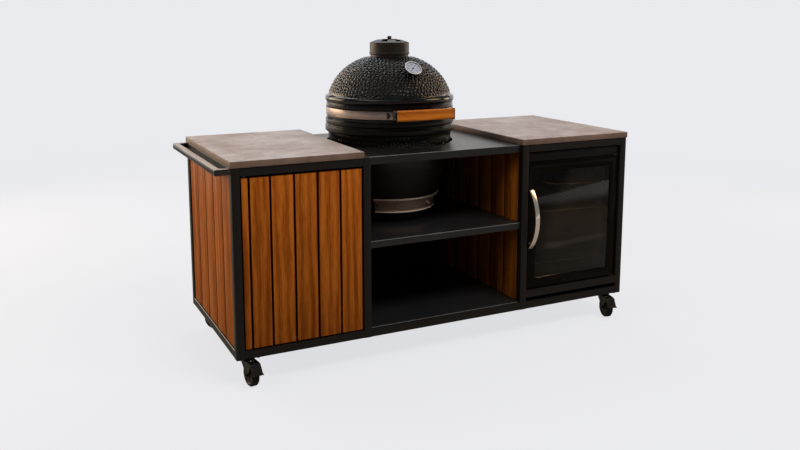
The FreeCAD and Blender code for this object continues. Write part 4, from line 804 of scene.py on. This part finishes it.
def pebbled(mesh, loop, first, last, pitch, depth, seed, calm_below=0.0):
    """Swells the rows from first to last into irregular rounded pebbles, in rows of seed points."""
    scatter_round, scatter_along, row_share = 0.33, 0.3, 0.87
    calm_share, calm_run, joint_share = 0.06, 60.0, 0.8
    rough = random.Random(seed)
    lengths = [0.0]
    for row in range(first, last):
        lengths.append(lengths[-1] + (Vector(loop[row + 1]) - Vector(loop[row])).length)
    total = lengths[-1]

    def on_skin(length, angle):
        row = bisect.bisect_right(lengths, min(max(length, 0.0), total * 0.9999)) - 1
        share = (length - lengths[row]) / (lengths[row + 1] - lengths[row])
        radius, height = Vector(loop[first + row]).lerp(Vector(loop[first + row + 1]), share)
        return Vector((radius * math.sin(angle), -radius * math.cos(angle), height)) / 1000, radius

    seeds = []
    level = 0.0
    while level < total:
        count = max(6, round(2 * math.pi * on_skin(level, 0.0)[1] / pitch))
        for number in range(count):
            turn = rough.uniform(-scatter_round, scatter_round)
            angle = 2 * math.pi * (number + level / 7 + turn) / count
            shift = rough.uniform(-scatter_along, scatter_along) * pitch
            seeds.append(on_skin(level + shift, angle)[0])
        level += pitch * row_share
    tree = KDTree(len(seeds))
    for number, seed_place in enumerate(seeds):
        tree.insert(seed_place, number)
    tree.balance()
    row_of = mesh.verts.layers.int["row"]
    swells = []
    for row in range(first, last + 1):
        along = Vector(loop[min(row + 1, last)]) - Vector(loop[max(row - 1, first)])
        out, up = Vector((along.y, -along.x)).normalized()
        reach = lengths[row - first]
        fade = min(1.0, min(reach, total - reach) / pitch)
        if loop[row][1] < calm_below:
            fade *= max(calm_share, 1.0 - (calm_below - loop[row][1]) / calm_run)
        swells.append((out, up, fade))
    for vertex in mesh.verts:
        if not first <= vertex[row_of] <= last:
            continue
        out, up, fade = swells[vertex[row_of] - first]
        near = tree.find_n(vertex.co, 2)
        gap = (near[1][2] - near[0][2]) * 1000 / pitch
        swell = min(1.0, gap / joint_share)
        lift = depth * fade * (swell * (2 - swell) - 0.5) / 1000
        side = vertex.co.xy.normalized()
        vertex.co += Vector((side.x * out, side.y * out, up)) * lift


def rod(mesh, start, end, radius, sides):
    """A straight round bar with flat ends."""
    run = end - start
    place = Matrix.Translation((start + end) / 2) @ run.to_track_quat("Z", "Y").to_matrix().to_4x4()
    bmesh.ops.create_cone(
        mesh, cap_ends=True, segments=sides, radius1=radius, radius2=radius, depth=run.length, matrix=place,
    )


def bolt_heads(name, body, spots, radius, height, sides=6, slot="zinc_steel"):
    """Bolt heads with washers and sockets; a spot is a place and the way the head faces.

    A layer is its share of the height, its lower and upper radius as shares of the radius, and its sides.
    """
    washer, head, crown = (0.22, 1.5, 1.42, 20), (0.6, 1.0, 1.0, sides), (0.18, 1.0, 0.8, sides)
    mesh = bmesh.new()
    for spot, way in spots:
        place = Matrix.Translation(spot) @ Vector(way).to_track_quat("Z", "Y").to_matrix().to_4x4()
        low = 0.0
        for share, wide, narrow, count in (washer, head, crown):
            depth = height * share
            made = bmesh.ops.create_cone(
                mesh, cap_ends=True, segments=count, radius1=radius * wide, radius2=radius * narrow,
                depth=depth, matrix=place @ Matrix.Translation((0, 0, low + depth / 2)),
            )
            low += depth
        tops = {f for v in made["verts"] for f in v.link_faces if len(f.verts) == sides}
        tip = place @ Vector((0, 0, low))
        top = min(tops, key=lambda f: (f.calc_center_median() - tip).length)
        bmesh.ops.inset_individual(mesh, faces=[top], thickness=radius * 0.32, depth=-height * 0.25)
    finished(mesh, name, "dark_bolt", body, slot)


# Frame, sheets and worktops

for name in ("frame_posts", "bearer_rails"):
    eased(name, "black_steel", 0.0022, shortest=0.05)
eased("frame_rails", "black_steel", 0.0022, shortest=0.05, highlight_finish="left_edge_highlight_paint", highlight_left=True)
for name in ("bottom_shelf", "middle_shelf"):
    eased(name, "shelf_sheen_steel", 0.0016, shortest=0.05, highlight_finish="edge_highlight_paint")
for name in ("door_tray", "plank_battens", "back_panels", "fridge_baffle"):
    eased(name, "inside_steel", 0.0006, shortest=0.05)
eased("grill_top", "top_plate", 0.0016, shortest=0.1, highlight_finish="edge_highlight_paint")
for name in ("left_worktop", "right_worktop"):
    eased(name, "cast_slab", 0.0009, shortest=0.02)
boards("door_planks", "board_teak")
boards("side_planks", "board_teak", 0.003)
boards("divider_planks", "board_inner")


def push_rail():
    """The grip and its two arms, each a tube of its own, with a pale painted reflection on their top faces.
    """
    low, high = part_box("push_rail")
    tube = high.z - low.z
    near, far = low.y + tube, high.y - tube
    edge = 0.0014
    mesh = bmesh.new()
    box_between(mesh, Vector((low.x, near, low.z)), Vector((low.x + tube, far, high.z)), edge)
    box_between(mesh, Vector(low), Vector((high.x, near, high.z)), edge)
    box_between(mesh, Vector((low.x, far, low.z)), Vector(high), edge)
    # top faces take the pale finish as a painted reflection
    for face in mesh.faces:
        face.normal_update()
        face.material_index = 1 if face.normal.z > 0.9 else 0
    stand_in(mesh, "push_rail_eased", "rail_coat", "push_rail", second="rail_top_reflection")


def cabinet_floor():
    """The floor sheet, drawn forward until it lies on the front rail."""
    forward = 0.018
    mesh = merged("cabinet_floor")
    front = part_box("cabinet_floor")[0].y
    for vertex in mesh.verts:
        if vertex.co.y < front + 0.0005:
            vertex.co.y = front - forward
    stand_in(mesh, "cabinet_floor_sheet", "inside_steel", "cabinet_floor")


def panel_screws():
    """Screws along the edges of the back panels."""
    inset, way = 0.012, (0, 1, 0)
    spots = []
    for low, high in solid_boxes("back_panels"):
        for share in (0.03, 0.27, 0.5, 0.73, 0.97):
            x = low.x + (high.x - low.x) * share
            spots += [((x, high.y, low.z + inset), way), ((x, high.y, high.z - inset), way)]
        for share in (0.25, 0.5, 0.75):
            z = low.z + (high.z - low.z) * share
            spots += [((low.x + inset, high.y, z), way), ((high.x - inset, high.y, z), way)]
    bolt_heads("panel_screws", "cart", spots, 0.0034, 0.0022, sides=16, slot="black_steel")


push_rail()
cabinet_floor()
panel_screws()


# Fridge

def fridge_body():
    """The casing, black outside and lighter on the liner's faces."""
    mesh = merged("fridge_cabinet")
    bevelled(mesh, sharp_edges(mesh, 0.03), 0.0015)
    low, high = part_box("fridge_cabinet")
    racks_low, racks_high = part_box("fridge_racks")
    floor, roof, front = low.z + 0.046, high.z - 0.085, racks_low.y - 0.019
    machine_top, machine_front = low.z + 0.186, high.y - 0.141
    for face in mesh.faces:
        middle = face.calc_center_median()
        across = racks_low.x - 0.003 < middle.x < racks_high.x + 0.003
        machine = middle.y > machine_front and middle.z < machine_top
        deep = front < middle.y < high.y - 0.02
        if across and floor < middle.z < roof and deep and not machine:
            face.material_index = 1
    stand_in(mesh, "fridge_cabinet_body", "fridge_shell", "fridge_cabinet", second="fridge_liner")


def wire_racks():
    """Three racks of round wire, the front wire of each bright."""
    rim, wire, gaps = 0.0025, 0.0015, 18
    mesh = bmesh.new()
    for low, high in solid_boxes("fridge_racks"):
        level = (low.z + high.z) / 2
        front, back = low.y + rim, high.y - rim
        rod(mesh, Vector((low.x, back, level)), Vector((high.x, back, level)), rim, 12)
        plain = len(mesh.faces)
        rod(mesh, Vector((low.x, front, level)), Vector((high.x, front, level)), rim, 12)
        mesh.faces.ensure_lookup_table()
        for face in mesh.faces[plain:]:
            face.material_index = 1
        above = level + 0.0008
        for x in steps_between(low.x + wire, high.x - wire, gaps):
            rod(mesh, Vector((x, low.y, above)), Vector((x, high.y, above)), wire, 8)
    stand_in(mesh, "fridge_rack_wires", "rack_wire", "fridge_racks", second="bright_wire")


fridge_body()
wire_racks()
eased("fridge_door_frame", "gloss_black", 0.0008, shortest=0.03)
rounded("fridge_compressor", "black_steel")
rounded("fridge_hinges", "dark_bolt")
eased("fridge_glass", "smoked_glass", 0.0006, shortest=0.03)
rounded("fridge_seal", "tyre_rubber")
eased("fridge_handle", "bow_steel", 0.0012, shortest=0.004, segments=3)


# Oven; heights and radii in mm from the middle shelf and the oven's axis

base_low, base_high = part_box("oven_base")
oven_middle = (base_low + base_high) / 2
oven_place = Matrix.Translation((oven_middle.x, oven_middle.y, base_low.z))
ceramic_radius, base_wall, lid_wall, chimney_radius = 300.0, 26.0, 24.0, 68.0
base_foot, base_floor, base_shoulder, base_rim = 12.0, 42.0, 407.0, 487.0
inlet_low, inlet_high, inlet_half_angle = 61.0, 105.0, 16.0
lid_seat, dome_foot, dome_top = 491.0, 597.0, 776.0
pebble_pitch = 18.5
base_arc = ((196.0, base_foot), (257.0, 215.0), (ceramic_radius, base_shoulder))
dome_arc = ((297.0, dome_foot), (228.0, 709.0), (93.0, dome_top))
base_centre, base_radius = circle_through(*base_arc)


def base_at(height, inset=0.0):
    """The point of the base's outline at a height, or of its lining with the wall as inset."""
    return (base_centre.x + math.sqrt((base_radius - inset) ** 2 - (height - base_centre.y) ** 2), height)


def pebbled_base():
    """The ceramic base, pebbled outside, with its air inlet at the front."""
    loop = [(0.0, base_foot), (155.0, base_foot), (155.0, 0.0), (184.0, 0.0)]
    first = len(loop)
    loop += [base_at(z) for z in steps_between(base_foot, inlet_low, 14)]
    low = len(loop) - 1
    loop += [base_at(z) for z in steps_between(inlet_low, inlet_high, 13)[1:]]
    high = len(loop) - 1
    loop += [base_at(z) for z in steps_between(inlet_high, base_shoulder, 86)[1:]]
    last = len(loop) - 1
    loop += [(ceramic_radius, base_rim), (ceramic_radius - base_wall, base_rim)]
    lining = len(loop) - 1
    loop += [base_at(z, base_wall) for z in steps_between(base_shoulder, inlet_high, 10)]
    inner_high = len(loop) - 1
    loop += [base_at(z, base_wall) for z in steps_between(inlet_high, inlet_low, 13)[1:]]
    inner_low = len(loop) - 1
    loop += [base_at(base_floor, base_wall), (0.0, base_floor)]
    inlet = (low, high, inner_high, inner_low, -inlet_half_angle, inlet_half_angle)
    mesh = bmesh.new()
    spun(mesh, loop, 544, windows=[inlet], inside=range(lining, len(loop) - 1))
    pebbled(mesh, loop, first, last, pebble_pitch, depth=5.0, seed=3, calm_below=370.0)
    stand_in(
        closed_up(mesh), "oven_base_pebbled", "dimpled_glaze", "oven_base",
        smooth=60.0, place=oven_place, second="fired_clay",
    )


def pebbled_lid():
    """The ceramic lid: smooth rolled flange, pebbled dome and open chimney."""
    loop = [(ceramic_radius - base_wall, lid_seat), (ceramic_radius, lid_seat), (ceramic_radius, 566.0)]
    loop += arc_rows((306.0, 566.0), (314.0, 580.5), (306.0, 595.0), 14)
    first = len(loop)
    loop += arc_rows(*dome_arc, 112)
    last = len(loop) - 1
    loop += [(chimney_radius, dome_top)]
    lining = len(loop) - 1
    centre, radius = circle_through(*dome_arc)
    small = radius - lid_wall
    chimney_foot = centre.y + math.sqrt(small**2 - (chimney_radius - centre.x) ** 2)
    for height in steps_between(chimney_foot, dome_foot, 12):
        loop.append((centre.x + math.sqrt(small**2 - (height - centre.y) ** 2), height))
    mesh = bmesh.new()
    spun(mesh, loop, 680, inside=range(lining, len(loop)))
    pebbled(mesh, loop, first, last, pebble_pitch, depth=5.2, seed=5)
    stand_in(
        closed_up(mesh), "lid_dome_pebbled", "dimpled_glaze", "lid_dome",
        smooth=60.0, place=oven_place, second="fired_clay",
    )


def oven_bands():
    """The rolled bands, the brushed strap round the lid, and the rope between lid and base."""
    band = [(300.2, 421), (308, 421), (314, 427), (314, 452), (308, 455), (308, 461)]
    band += [(312, 464), (312, 485), (300.2, 485)]
    mesh = turned(softened(band, 1.6), columns=240)
    stand_in(mesh, "base_band_rolled", "band_black", "base_band", place=oven_place)
    band = [(300.2, 493), (307.2, 493), (307.2, 498), (306.4, 499), (306.4, 541)]
    band += [(307.2, 542), (307.2, 565), (300.2, 565)]
    mesh = turned(softened(band, 1.4), columns=240)
    stand_in(mesh, "lid_band_rolled", "band_black", "lid_band", place=oven_place)
    strap = softened([(307.4, 501.5), (309.8, 501.5), (309.8, 538.5), (307.4, 538.5)], 0.8)
    mesh = turned(strap, columns=240, first=19.5, last=340.5)
    stand_in(mesh, "handle_strap_brushed", "strap_steel", "handle_strap", place=oven_place)
    rope = softened([(275, 487.4), (299.5, 487.4), (299.5, 490.9), (275, 490.9)], 1.5)
    mesh = turned(rope, columns=200)
    stand_in(mesh, "lid_gasket_rope", "felt_rope", "lid_gasket", place=oven_place)


def at_oven(radius, angle, height):
    """A place on the oven, and the way straight out from its axis there."""
    turn = math.radians(angle)
    way = Vector((math.sin(turn), -math.cos(turn), 0.0))
    spot = Vector((way.x * radius, way.y * radius, height)) / 1000
    return oven_place @ spot, way


def handle_fittings():
    """Feet of the handle's arms on the strap, their bolts, and the bolts at the ends of the grip."""
    foot_face = 314.6
    foot = softened([(309.9, 503.0), (foot_face, 503.0), (foot_face, 537.0), (309.9, 537.0)], 1.0)
    for side, first, last in (("left", -30.2, -22.2), ("right", 22.2, 30.2)):
        mesh = turned(foot, columns=12, first=first, last=last)
        finished(mesh, "handle_foot_" + side, "strap_steel", "oven_lid", "stainless", place=oven_place)
    spots = [at_oven(foot_face, angle, 520) for angle in (-26.2, 26.2)]
    bolt_heads("foot_bolts", "oven_lid", spots, 0.0058, 0.005, sides=18)
    low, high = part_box("lid_handle")
    middle = (low + high) / 2
    reach = (high.x - low.x) / 2 + 0.006
    spots = [((middle.x + side * reach, middle.y, middle.z), (side, 0, 0)) for side in (-1, 1)]
    bolt_heads("handle_bolts", "oven_lid", spots, 0.005, 0.004, sides=18)


def handle_brackets():
    """The two arms, with their end plates kept inside the wood's outline."""
    plate_share, skin = 0.62, 0.0004
    mesh = merged("handle_brackets")
    low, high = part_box("lid_handle")
    middle = (low + high) / 2
    for vertex in mesh.verts:
        if not low.x - skin < vertex.co.x < high.x + skin:
            vertex.co.y = middle.y + (vertex.co.y - middle.y) * plate_share
            vertex.co.z = middle.z + (vertex.co.z - middle.z) * plate_share
    stand_in(mesh, "handle_bracket_arms", "band_black", "handle_brackets")


def hinge_bolts():
    """Bolts through the hinge's plate, and the nuts at both ends of its pin."""
    plate_face, pin_end = 0.322, 0.048
    spots = []
    for x in (-0.02, 0.02):
        for z in (0.439, 0.459):
            spots.append((oven_place @ Vector((x, plate_face, z)), (0, 1, 0)))
    for side in (-1, 1):
        spots.append((oven_place @ Vector((side * pin_end, 0.345, 0.488)), (side, 0, 0)))
    bolt_heads("hinge_bolts", "cart", spots, 0.005, 0.005)


def draft_rims():
    """Rolled rims along both edges of the draft channel, pale and nearly matt as a painted highlight, and
    the screw at its left end.
    """
    thickness, stand_off = 4.6, 8.0
    circle = steps_between(0.0, 2 * math.pi, 14)[:-1]
    mesh = bmesh.new()
    for height in (51.5, 114.5):
        radius = base_at(height)[0] + stand_off
        ring = [(radius + thickness * math.cos(t), height + thickness * math.sin(t)) for t in circle]
        spun(mesh, ring, 140, -44.3, 72.3)
    finished(closed_up(mesh), "draft_rims", "rim_highlight_steel", "cart", "stainless", place=oven_place)
    spots = [at_oven(base_at(83.0)[0] + 2.2, -41.0, 83.0)]
    bolt_heads("draft_screw", "cart", spots, 0.004, 0.003, sides=16)


def row_near(loop, point):
    """The number of the outline's point that lies nearest."""
    return min(range(len(loop)), key=lambda row: (Vector(loop[row]) - Vector(point)).length)


def top_vent():
    """The fixed collar, and the cap with its ring of slots and its knob."""
    slots = [(start, start + 28) for start in range(0, 360, 60)]
    collar = [(82, 776), (92, 776), (92, 785), (87, 785), (87, 831), (78, 831), (38, 831), (0, 831)]
    collar += [(0, 828), (38, 828), (78, 828), (82, 828)]
    rows = [row_near(collar, p) for p in ((78, 831), (38, 831), (38, 828), (78, 828))]
    mesh = bmesh.new()
    spun(mesh, collar, 180, windows=[(*rows, *cut) for cut in slots])
    stand_in(closed_up(mesh), "vent_collar_turned", "cast_vent", "vent_collar", place=oven_place)
    cap = [(90.5, 785.4), (97, 785.4), (97, 794.4), (95, 796.4), (95, 843.4), (78, 849.1), (56, 856.4)]
    cap += [(38, 856.4), (0, 856.4), (0, 851.9), (38, 851.9), (56, 851.9), (78, 843.6), (90.5, 838.9)]
    cap = softened(cap, 4.0, 4, keep=(5, 7, 8, 9, 10, 11, 12))
    rows = [row_near(cap, p) for p in ((78, 849.1), (38, 856.4), (38, 851.9), (78, 843.6))]
    mesh = bmesh.new()
    spun(mesh, cap, 180, windows=[(*rows, *cut) for cut in slots])
    knob = [(0, 854), (13, 854), (8, 860.5), (11.5, 867), (9, 873.4), (0, 873.4)]
    spun(mesh, softened(knob, 3.5, 4, keep=(0, 5)), 48)
    rib = softened([(34, 855.4), (38, 855.4), (37.4, 859), (34.6, 859)], 0.8)
    spun(mesh, rib, 120)
    stand_in(closed_up(mesh), "vent_cap_turned", "cast_vent", "vent_cap", place=oven_place)


def dial():
    """The thermometer: case, bezel, enamelled face with marks and numbers, and a domed lens."""
    spot, axis = joint_of("thermometer_reading")
    out = -axis
    up = Vector((0, 0, 1)) - out * out.z
    up.normalize()
    turn = Matrix((up.cross(out), up, out)).transposed().to_4x4()
    place = Matrix.Translation(spot - out * 0.001) @ turn
    case = [(0, -10), (34, -10), (39.6, -6), (39.6, 3.4), (36.4, 3.4), (36.4, 0), (0, 0)]
    mesh = bmesh.new()
    spun(mesh, softened(case, 1.4, 3, keep=(0, 6)), 96)
    nut = [(0, -28.2), (12.6, -28.2), (12.6, -9.6), (0, -9.6)]
    spun(mesh, softened(nut, 0.8, 2, keep=(0, 3)), 6)
    spun(mesh, [(0, -92), (5, -92), (6, -90), (6, -28), (0, -28)], 24)
    stand_in(closed_up(mesh), "thermometer_body", "cast_vent", "thermometer_case", place=place)
    bezel = softened([(36.3, 3.2), (40.2, 3.2), (40.2, 5.2), (37.4, 6.0), (36.3, 5.2)], 0.8)
    mesh = turned(bezel, columns=96)
    finished(mesh, "thermometer_bezel", "bezel_highlight_steel", "oven_lid", "stainless", place=place)
    mesh = turned([(0, 0.02), (36.4, 0.02), (36.4, 0.5), (33, 0.38), (0, 0.38)], columns=72)
    finished(mesh, "thermometer_face", "dial_enamel", "oven_lid", "stainless", place=place)
    mesh = turned([(0, 3.3), (36.4, 3.3), (36.4, 4.4), (30, 5.0), (18, 5.4), (0, 5.6)], columns=72)
    stand_in(mesh, "thermometer_glass", "dial_lens", "thermometer_lens", place=place)
    scale_start, scale_sweep, marks_radius, numbers_radius = 225.0, 270.0, 0.0335, 0.0225
    mesh = bmesh.new()
    for number in range(31):
        turn = math.radians(scale_start - scale_sweep * number / 30)
        long = number % 5 == 0
        size = Vector((5.0 if long else 3.0, 1.0 if long else 0.6, 0.3)) / 1000
        made = bmesh.ops.create_cube(mesh, size=1.0)["verts"]
        bmesh.ops.scale(mesh, vec=size, verts=made)
        bmesh.ops.translate(mesh, vec=(marks_radius - size.x / 2, 0.0, 0.00045), verts=made)
        bmesh.ops.rotate(mesh, cent=(0, 0, 0), matrix=Matrix.Rotation(turn, 3, "Z"), verts=made)
    for number in range(7):
        turn = math.radians(scale_start - scale_sweep * number / 6)
        words = bpy.data.curves.new("dial_number", "FONT")
        words.body = str(50 + 50 * number)
        words.size = 0.0072
        words.align_x = "CENTER"
        words.align_y = "CENTER"
        holder = bpy.data.objects.new("dial_number", words)
        flat = bpy.data.meshes.new_from_object(holder)
        middle = Vector((math.cos(turn), math.sin(turn), 0.0)) * numbers_radius
        flat.transform(Matrix.Translation((middle.x, middle.y, 0.0006)))
        mesh.from_mesh(flat)
        bpy.data.meshes.remove(flat)
        bpy.data.objects.remove(holder)
        bpy.data.curves.remove(words)
    finished(mesh, "thermometer_marks", "needle_black", "oven_lid", "needle_black", place=place)
    rounded("thermometer_needle", "needle_black")


def grill_grid():
    """Parallel round bars lying on two cross bars."""
    low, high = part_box("cooking_grid")
    radius = (high.y - low.y) / 2
    level = high.z - base_low.z - 0.004
    pitch, bar, cross_bar = 0.029, 0.0036, 0.0027
    mesh = bmesh.new()
    for number in range(-7, 8):
        x = number * pitch
        reach = math.sqrt(radius**2 - x**2)
        rod(mesh, Vector((x, -reach, level)), Vector((x, reach, level)), bar, 12)
    reach = (high.x - low.x) / 2
    under = level - 0.0062
    for y in (-0.13, 0.13):
        rod(mesh, Vector((-reach, y, under)), Vector((reach, y, under)), cross_bar, 12)
    stand_in(mesh, "cooking_grid_bars", "bright_wire", "cooking_grid", place=oven_place)


pebbled_base()
pebbled_lid()
oven_bands()
handle_fittings()
hinge_bolts()
draft_rims()
top_vent()
dial()
grill_grid()
for name in ("base_hinge", "lid_hinge"):
    rounded(name, "black_steel")
handle_brackets()
for name in ("draft_frame", "draft_door"):
    rounded(name, "draft_steel")
rounded("fire_bowl", "fired_clay")
rounded("charcoal_grate", "grate_iron")
rounded("lid_handle", "handle_teak")


# Casters and small fittings

def caster(corner):
    """Wheel with a moulded hub and treads, fork with bearing and nuts, and a ribbed pedal."""
    spot, axis = joint_of("spin_" + corner)
    place = Matrix.Translation(spot) @ axis.to_track_quat("Z", "Y").to_matrix().to_4x4()
    half = [(5.2, 18.5), (16, 18.5), (16, 14), (34, 12), (37, 16), (45, 16), (50, 11)]
    half += [(50, 5.6), (48.6, 5), (48.6, 4), (50, 3.4)]
    hub_radius = 36.5
    loop = softened([(r, -z) for r, z in half] + list(reversed(half)), 1.0, 2)
    mesh = bmesh.new()
    spun(mesh, loop, 96, inside=[row for row in range(len(loop)) if loop[row][0] < hub_radius])
    wheel = "caster_wheel_" + corner
    stand_in(closed_up(mesh), wheel + "_treaded", "tyre_rubber", wheel, place=place, second="black_caster")
    fork = "caster_fork_" + corner
    rounded(fork, "black_caster")
    nut_reach = 0.026
    spots = [(spot + axis * nut_reach, axis), (spot - axis * nut_reach, -axis)]
    bolt_heads("axle_nuts_" + corner, fork, spots, 0.0062, 0.005)
    swivel, _ = joint_of("swivel_" + corner)
    upright = Matrix.Translation((swivel.x, swivel.y, 0.0))
    race = softened([(22, 108.2), (28.5, 108.2), (29, 111), (28.5, 114.7), (22, 114.7)], 1.0)
    mesh = turned(race, columns=64)
    finished(mesh, "swivel_race_" + corner, "black_caster", fork, "zinc_steel", place=upright)
    pedal = "brake_pedal_" + corner
    rounded(pedal, "black_caster")
    pin, _ = joint_of("brake_" + corner)
    ahead = Vector((pin.x - swivel.x, pin.y - swivel.y, 0.0)).normalized()
    beside = Vector((-ahead.y, ahead.x, 0.0))
    rib_half, rib_radius = 0.019, 0.0014
    mesh = bmesh.new()
    for forward, height in ((14, 101.0), (19, 93.4), (24, 85.8), (29, 78.2), (36, 72.4), (41, 72.4)):
        middle = pin + ahead * forward / 1000
        middle.z = height / 1000
        rod(mesh, middle - beside * rib_half, middle + beside * rib_half, rib_radius, 8)
    finished(mesh, "pedal_ribs_" + corner, "black_caster", pedal, "dark_plastic")
    web_width, web_thickness, web_height = 0.0384, 0.002, 0.0222
    mesh = bmesh.new()
    size = Matrix.Diagonal((web_width, web_thickness, web_height, 1.0))
    bmesh.ops.create_cube(mesh, size=1.0, matrix=size)
    turn = Matrix((beside, ahead, Vector((0, 0, 1)))).transposed().to_4x4()
    middle = Vector((swivel.x, swivel.y, 0.0941)) - ahead * 0.0135
    place = Matrix.Translation(middle) @ turn
    finished(mesh, "fork_web_" + corner, "black_caster", fork, "zinc_steel", place=place)


eased("caster_plates", "black_caster", 0.0008, shortest=0.03)
plate_bolts = []
for low, high in solid_boxes("caster_plates"):
    middle = (low + high) / 2
    for x in (-0.038, 0.038):
        for y in (-0.033, 0.033):
            plate_bolts.append(((middle.x + x, middle.y + y, high.z - 0.0035), (0, 0, -1)))
bolt_heads("plate_bolts", "cart", plate_bolts, 0.0062, 0.006)
for corner in ("front_left", "front_right", "rear_left", "rear_right"):
    caster(corner)
rounded("door_pivots", "plated_steel")
eased("magnet_catch", "black_caster", 0.0008)


# Studio

camera_turn = -26.22


def studio_floor():
    """A pale floor that sweeps up into the backdrop, square to the camera."""
    mesh = bmesh.new()
    corners = [mesh.verts.new((x, -12.0, 0.0)) for x in (-32.0, 32.0)]
    front = mesh.edges.new(corners)
    turn = bmesh.ops.extrude_edge_only(mesh, edges=[front])
    moved = [v for v in turn["geom"] if isinstance(v, bmesh.types.BMVert)]
    bmesh.ops.translate(mesh, vec=(0.0, 20.0, 0.0), verts=moved)
    edges = [e for e in turn["geom"] if isinstance(e, bmesh.types.BMEdge)]
    edge = [e for e in edges if all(v in moved for v in e.verts)]
    bmesh.ops.spin(
        mesh, geom=edge + moved, cent=(0.0, 8.0, 6.0), axis=(1.0, 0.0, 0.0),
        angle=math.radians(90.0), steps=24, use_merge=False,
    )
    mesh.transform(Matrix.Rotation(math.radians(camera_turn), 4, "Z"))
    data = bpy.data.meshes.new("studio_floor")
    mesh.to_mesh(data)
    mesh.free()
    data.shade_smooth()
    material, tree, shader = new_finish("studio_paper")
    place = place_of(tree)
    fibre = noise(tree, place, 90.0, 3.0, 0.5)
    rays = put(tree, "LightPath").outputs
    far = put(tree, "VectorMath", {"operation": "LENGTH"}, {0: place}).outputs["Value"]
    shown = sums(tree, "MULTIPLY", rays["Is Camera Ray"], remap(tree, far, 2.0, 7.5, 0.715, 0.802))
    near = remap(tree, far, 3.4, 5.4, 0.25, 0.07)
    behind = remap(tree, far, 6.0, 9.0, 0.0, 0.93)
    mirrored = sums(tree, "MULTIPLY", rays["Is Glossy Ray"], sums(tree, "ADD", near, behind))
    warm = sums(tree, "MULTIPLY", rays["Is Glossy Ray"], remap(tree, far, 4.0, 7.0, 1.0, 0.25))
    fill(tree, shader, {
        "Base Color": ramp(tree, fibre, [(0.3, (0.108, 0.109, 0.112)), (0.7, (0.112, 0.113, 0.116))]),
        "Roughness": 0.9,
        "Specular IOR Level": 0.0,
        "Emission Color": mixed(tree, warm, (1.0, 1.008, 1.046, 1.0), (1.0, 0.80, 0.62, 1.0)),
        "Emission Strength": sums(tree, "ADD", shown, mirrored),
    })
    data.materials.append(material)
    floor = bpy.data.objects.new("studio_floor", data)
    bpy.context.scene.collection.objects.link(floor)


def soft_box(name, place, aim, width, height, power, colour, mirrored=True, lights=True):
    """A rectangular lamp aimed at a place, seen in mirrors or lighting matt faces as asked."""
    light = bpy.data.lights.new(name, "AREA")
    light.shape = "RECTANGLE"
    light.size = width
    light.size_y = height
    light.energy = power
    light.color = colour
    lamp = bpy.data.objects.new(name, light)
    lamp.location = place
    lamp.rotation_euler = (Vector(aim) - Vector(place)).to_track_quat("-Z", "Y").to_euler()
    lamp.visible_camera = False
    lamp.visible_glossy = mirrored
    lamp.visible_diffuse = lights
    bpy.context.scene.collection.objects.link(lamp)


def studio_light():
    world = bpy.data.worlds.new("studio_air")
    world.use_nodes = True
    tree = world.node_tree
    back = tree.nodes["Background"]
    back.inputs["Color"].default_value = (0.95, 0.97, 1.0, 1.0)
    seen = put(tree, "LightPath").outputs["Is Camera Ray"]
    tree.links.new(remap(tree, seen, 0.0, 1.0, 0.12, 0.82), back.inputs["Strength"])
    bpy.context.scene.world = world
    aim = (0.0, 0.0, 0.6)
    soft_box("sky_panel", (0.6, 3.2, 4.4), aim, 4.5, 2.5, 100.0, (0.93, 0.96, 1.0))
    soft_box("left_panel", (-2.9, 3.0, 1.9), aim, 3.0, 2.2, 101.0, (1.0, 0.78, 0.54))
    soft_box("right_panel", (4.4, 0.5, 1.9), aim, 1.2, 1.8, 26.0, (1.0, 0.76, 0.52))
    soft_box("top_panel", (-0.3, -0.5, 4.8), aim, 1.2, 0.6, 18.0, (0.90, 0.95, 1.0), mirrored=False)
    soft_box("side_panel", (-4.6, -0.6, 2.4), aim, 2.0, 2.0, 63.0, (0.95, 0.93, 0.70), mirrored=False)
    soft_box("front_panel", (0.9, -3.3, 4.7), aim, 3.0, 1.6, 205.0, (1.0, 0.93, 0.84), mirrored=False)
    soft_box("right_glint", (3.0, -1.2, 3.2), aim, 1.8, 1.8, 44.0, (1.0, 0.70, 0.40), lights=False)
    soft_box("left_glint", (-2.2, -0.6, 4.0), aim, 2.0, 2.0, 18.0, (1.0, 0.86, 0.70), lights=False)
    soft_box("top_glint", (-0.9, -1.9, 4.8), aim, 2.0, 2.0, 4.0, (0.60, 0.79, 1.0), lights=False)


def photo_camera():
    """The camera that was fitted to the frame's edges in the photograph."""
    picture_width = 800.0
    focal_pixels = 840.2
    axis_above_middle = 225.0 - 151.4
    data = bpy.data.cameras.new("photo_camera")
    data.sensor_width = 36.0
    data.lens = focal_pixels / picture_width * data.sensor_width
    data.shift_y = -axis_above_middle / picture_width
    camera = bpy.data.objects.new("photo_camera", data)
    camera.location = (-1.8105, -3.6075, 1.514)
    camera.rotation_euler = (math.radians(90.0 - 9.05), 0.0, math.radians(camera_turn))
    bpy.context.scene.collection.objects.link(camera)
    bpy.context.scene.camera = camera


studio_floor()
studio_light()
photo_camera()
bpy.context.scene.view_settings.view_transform = "Standard"
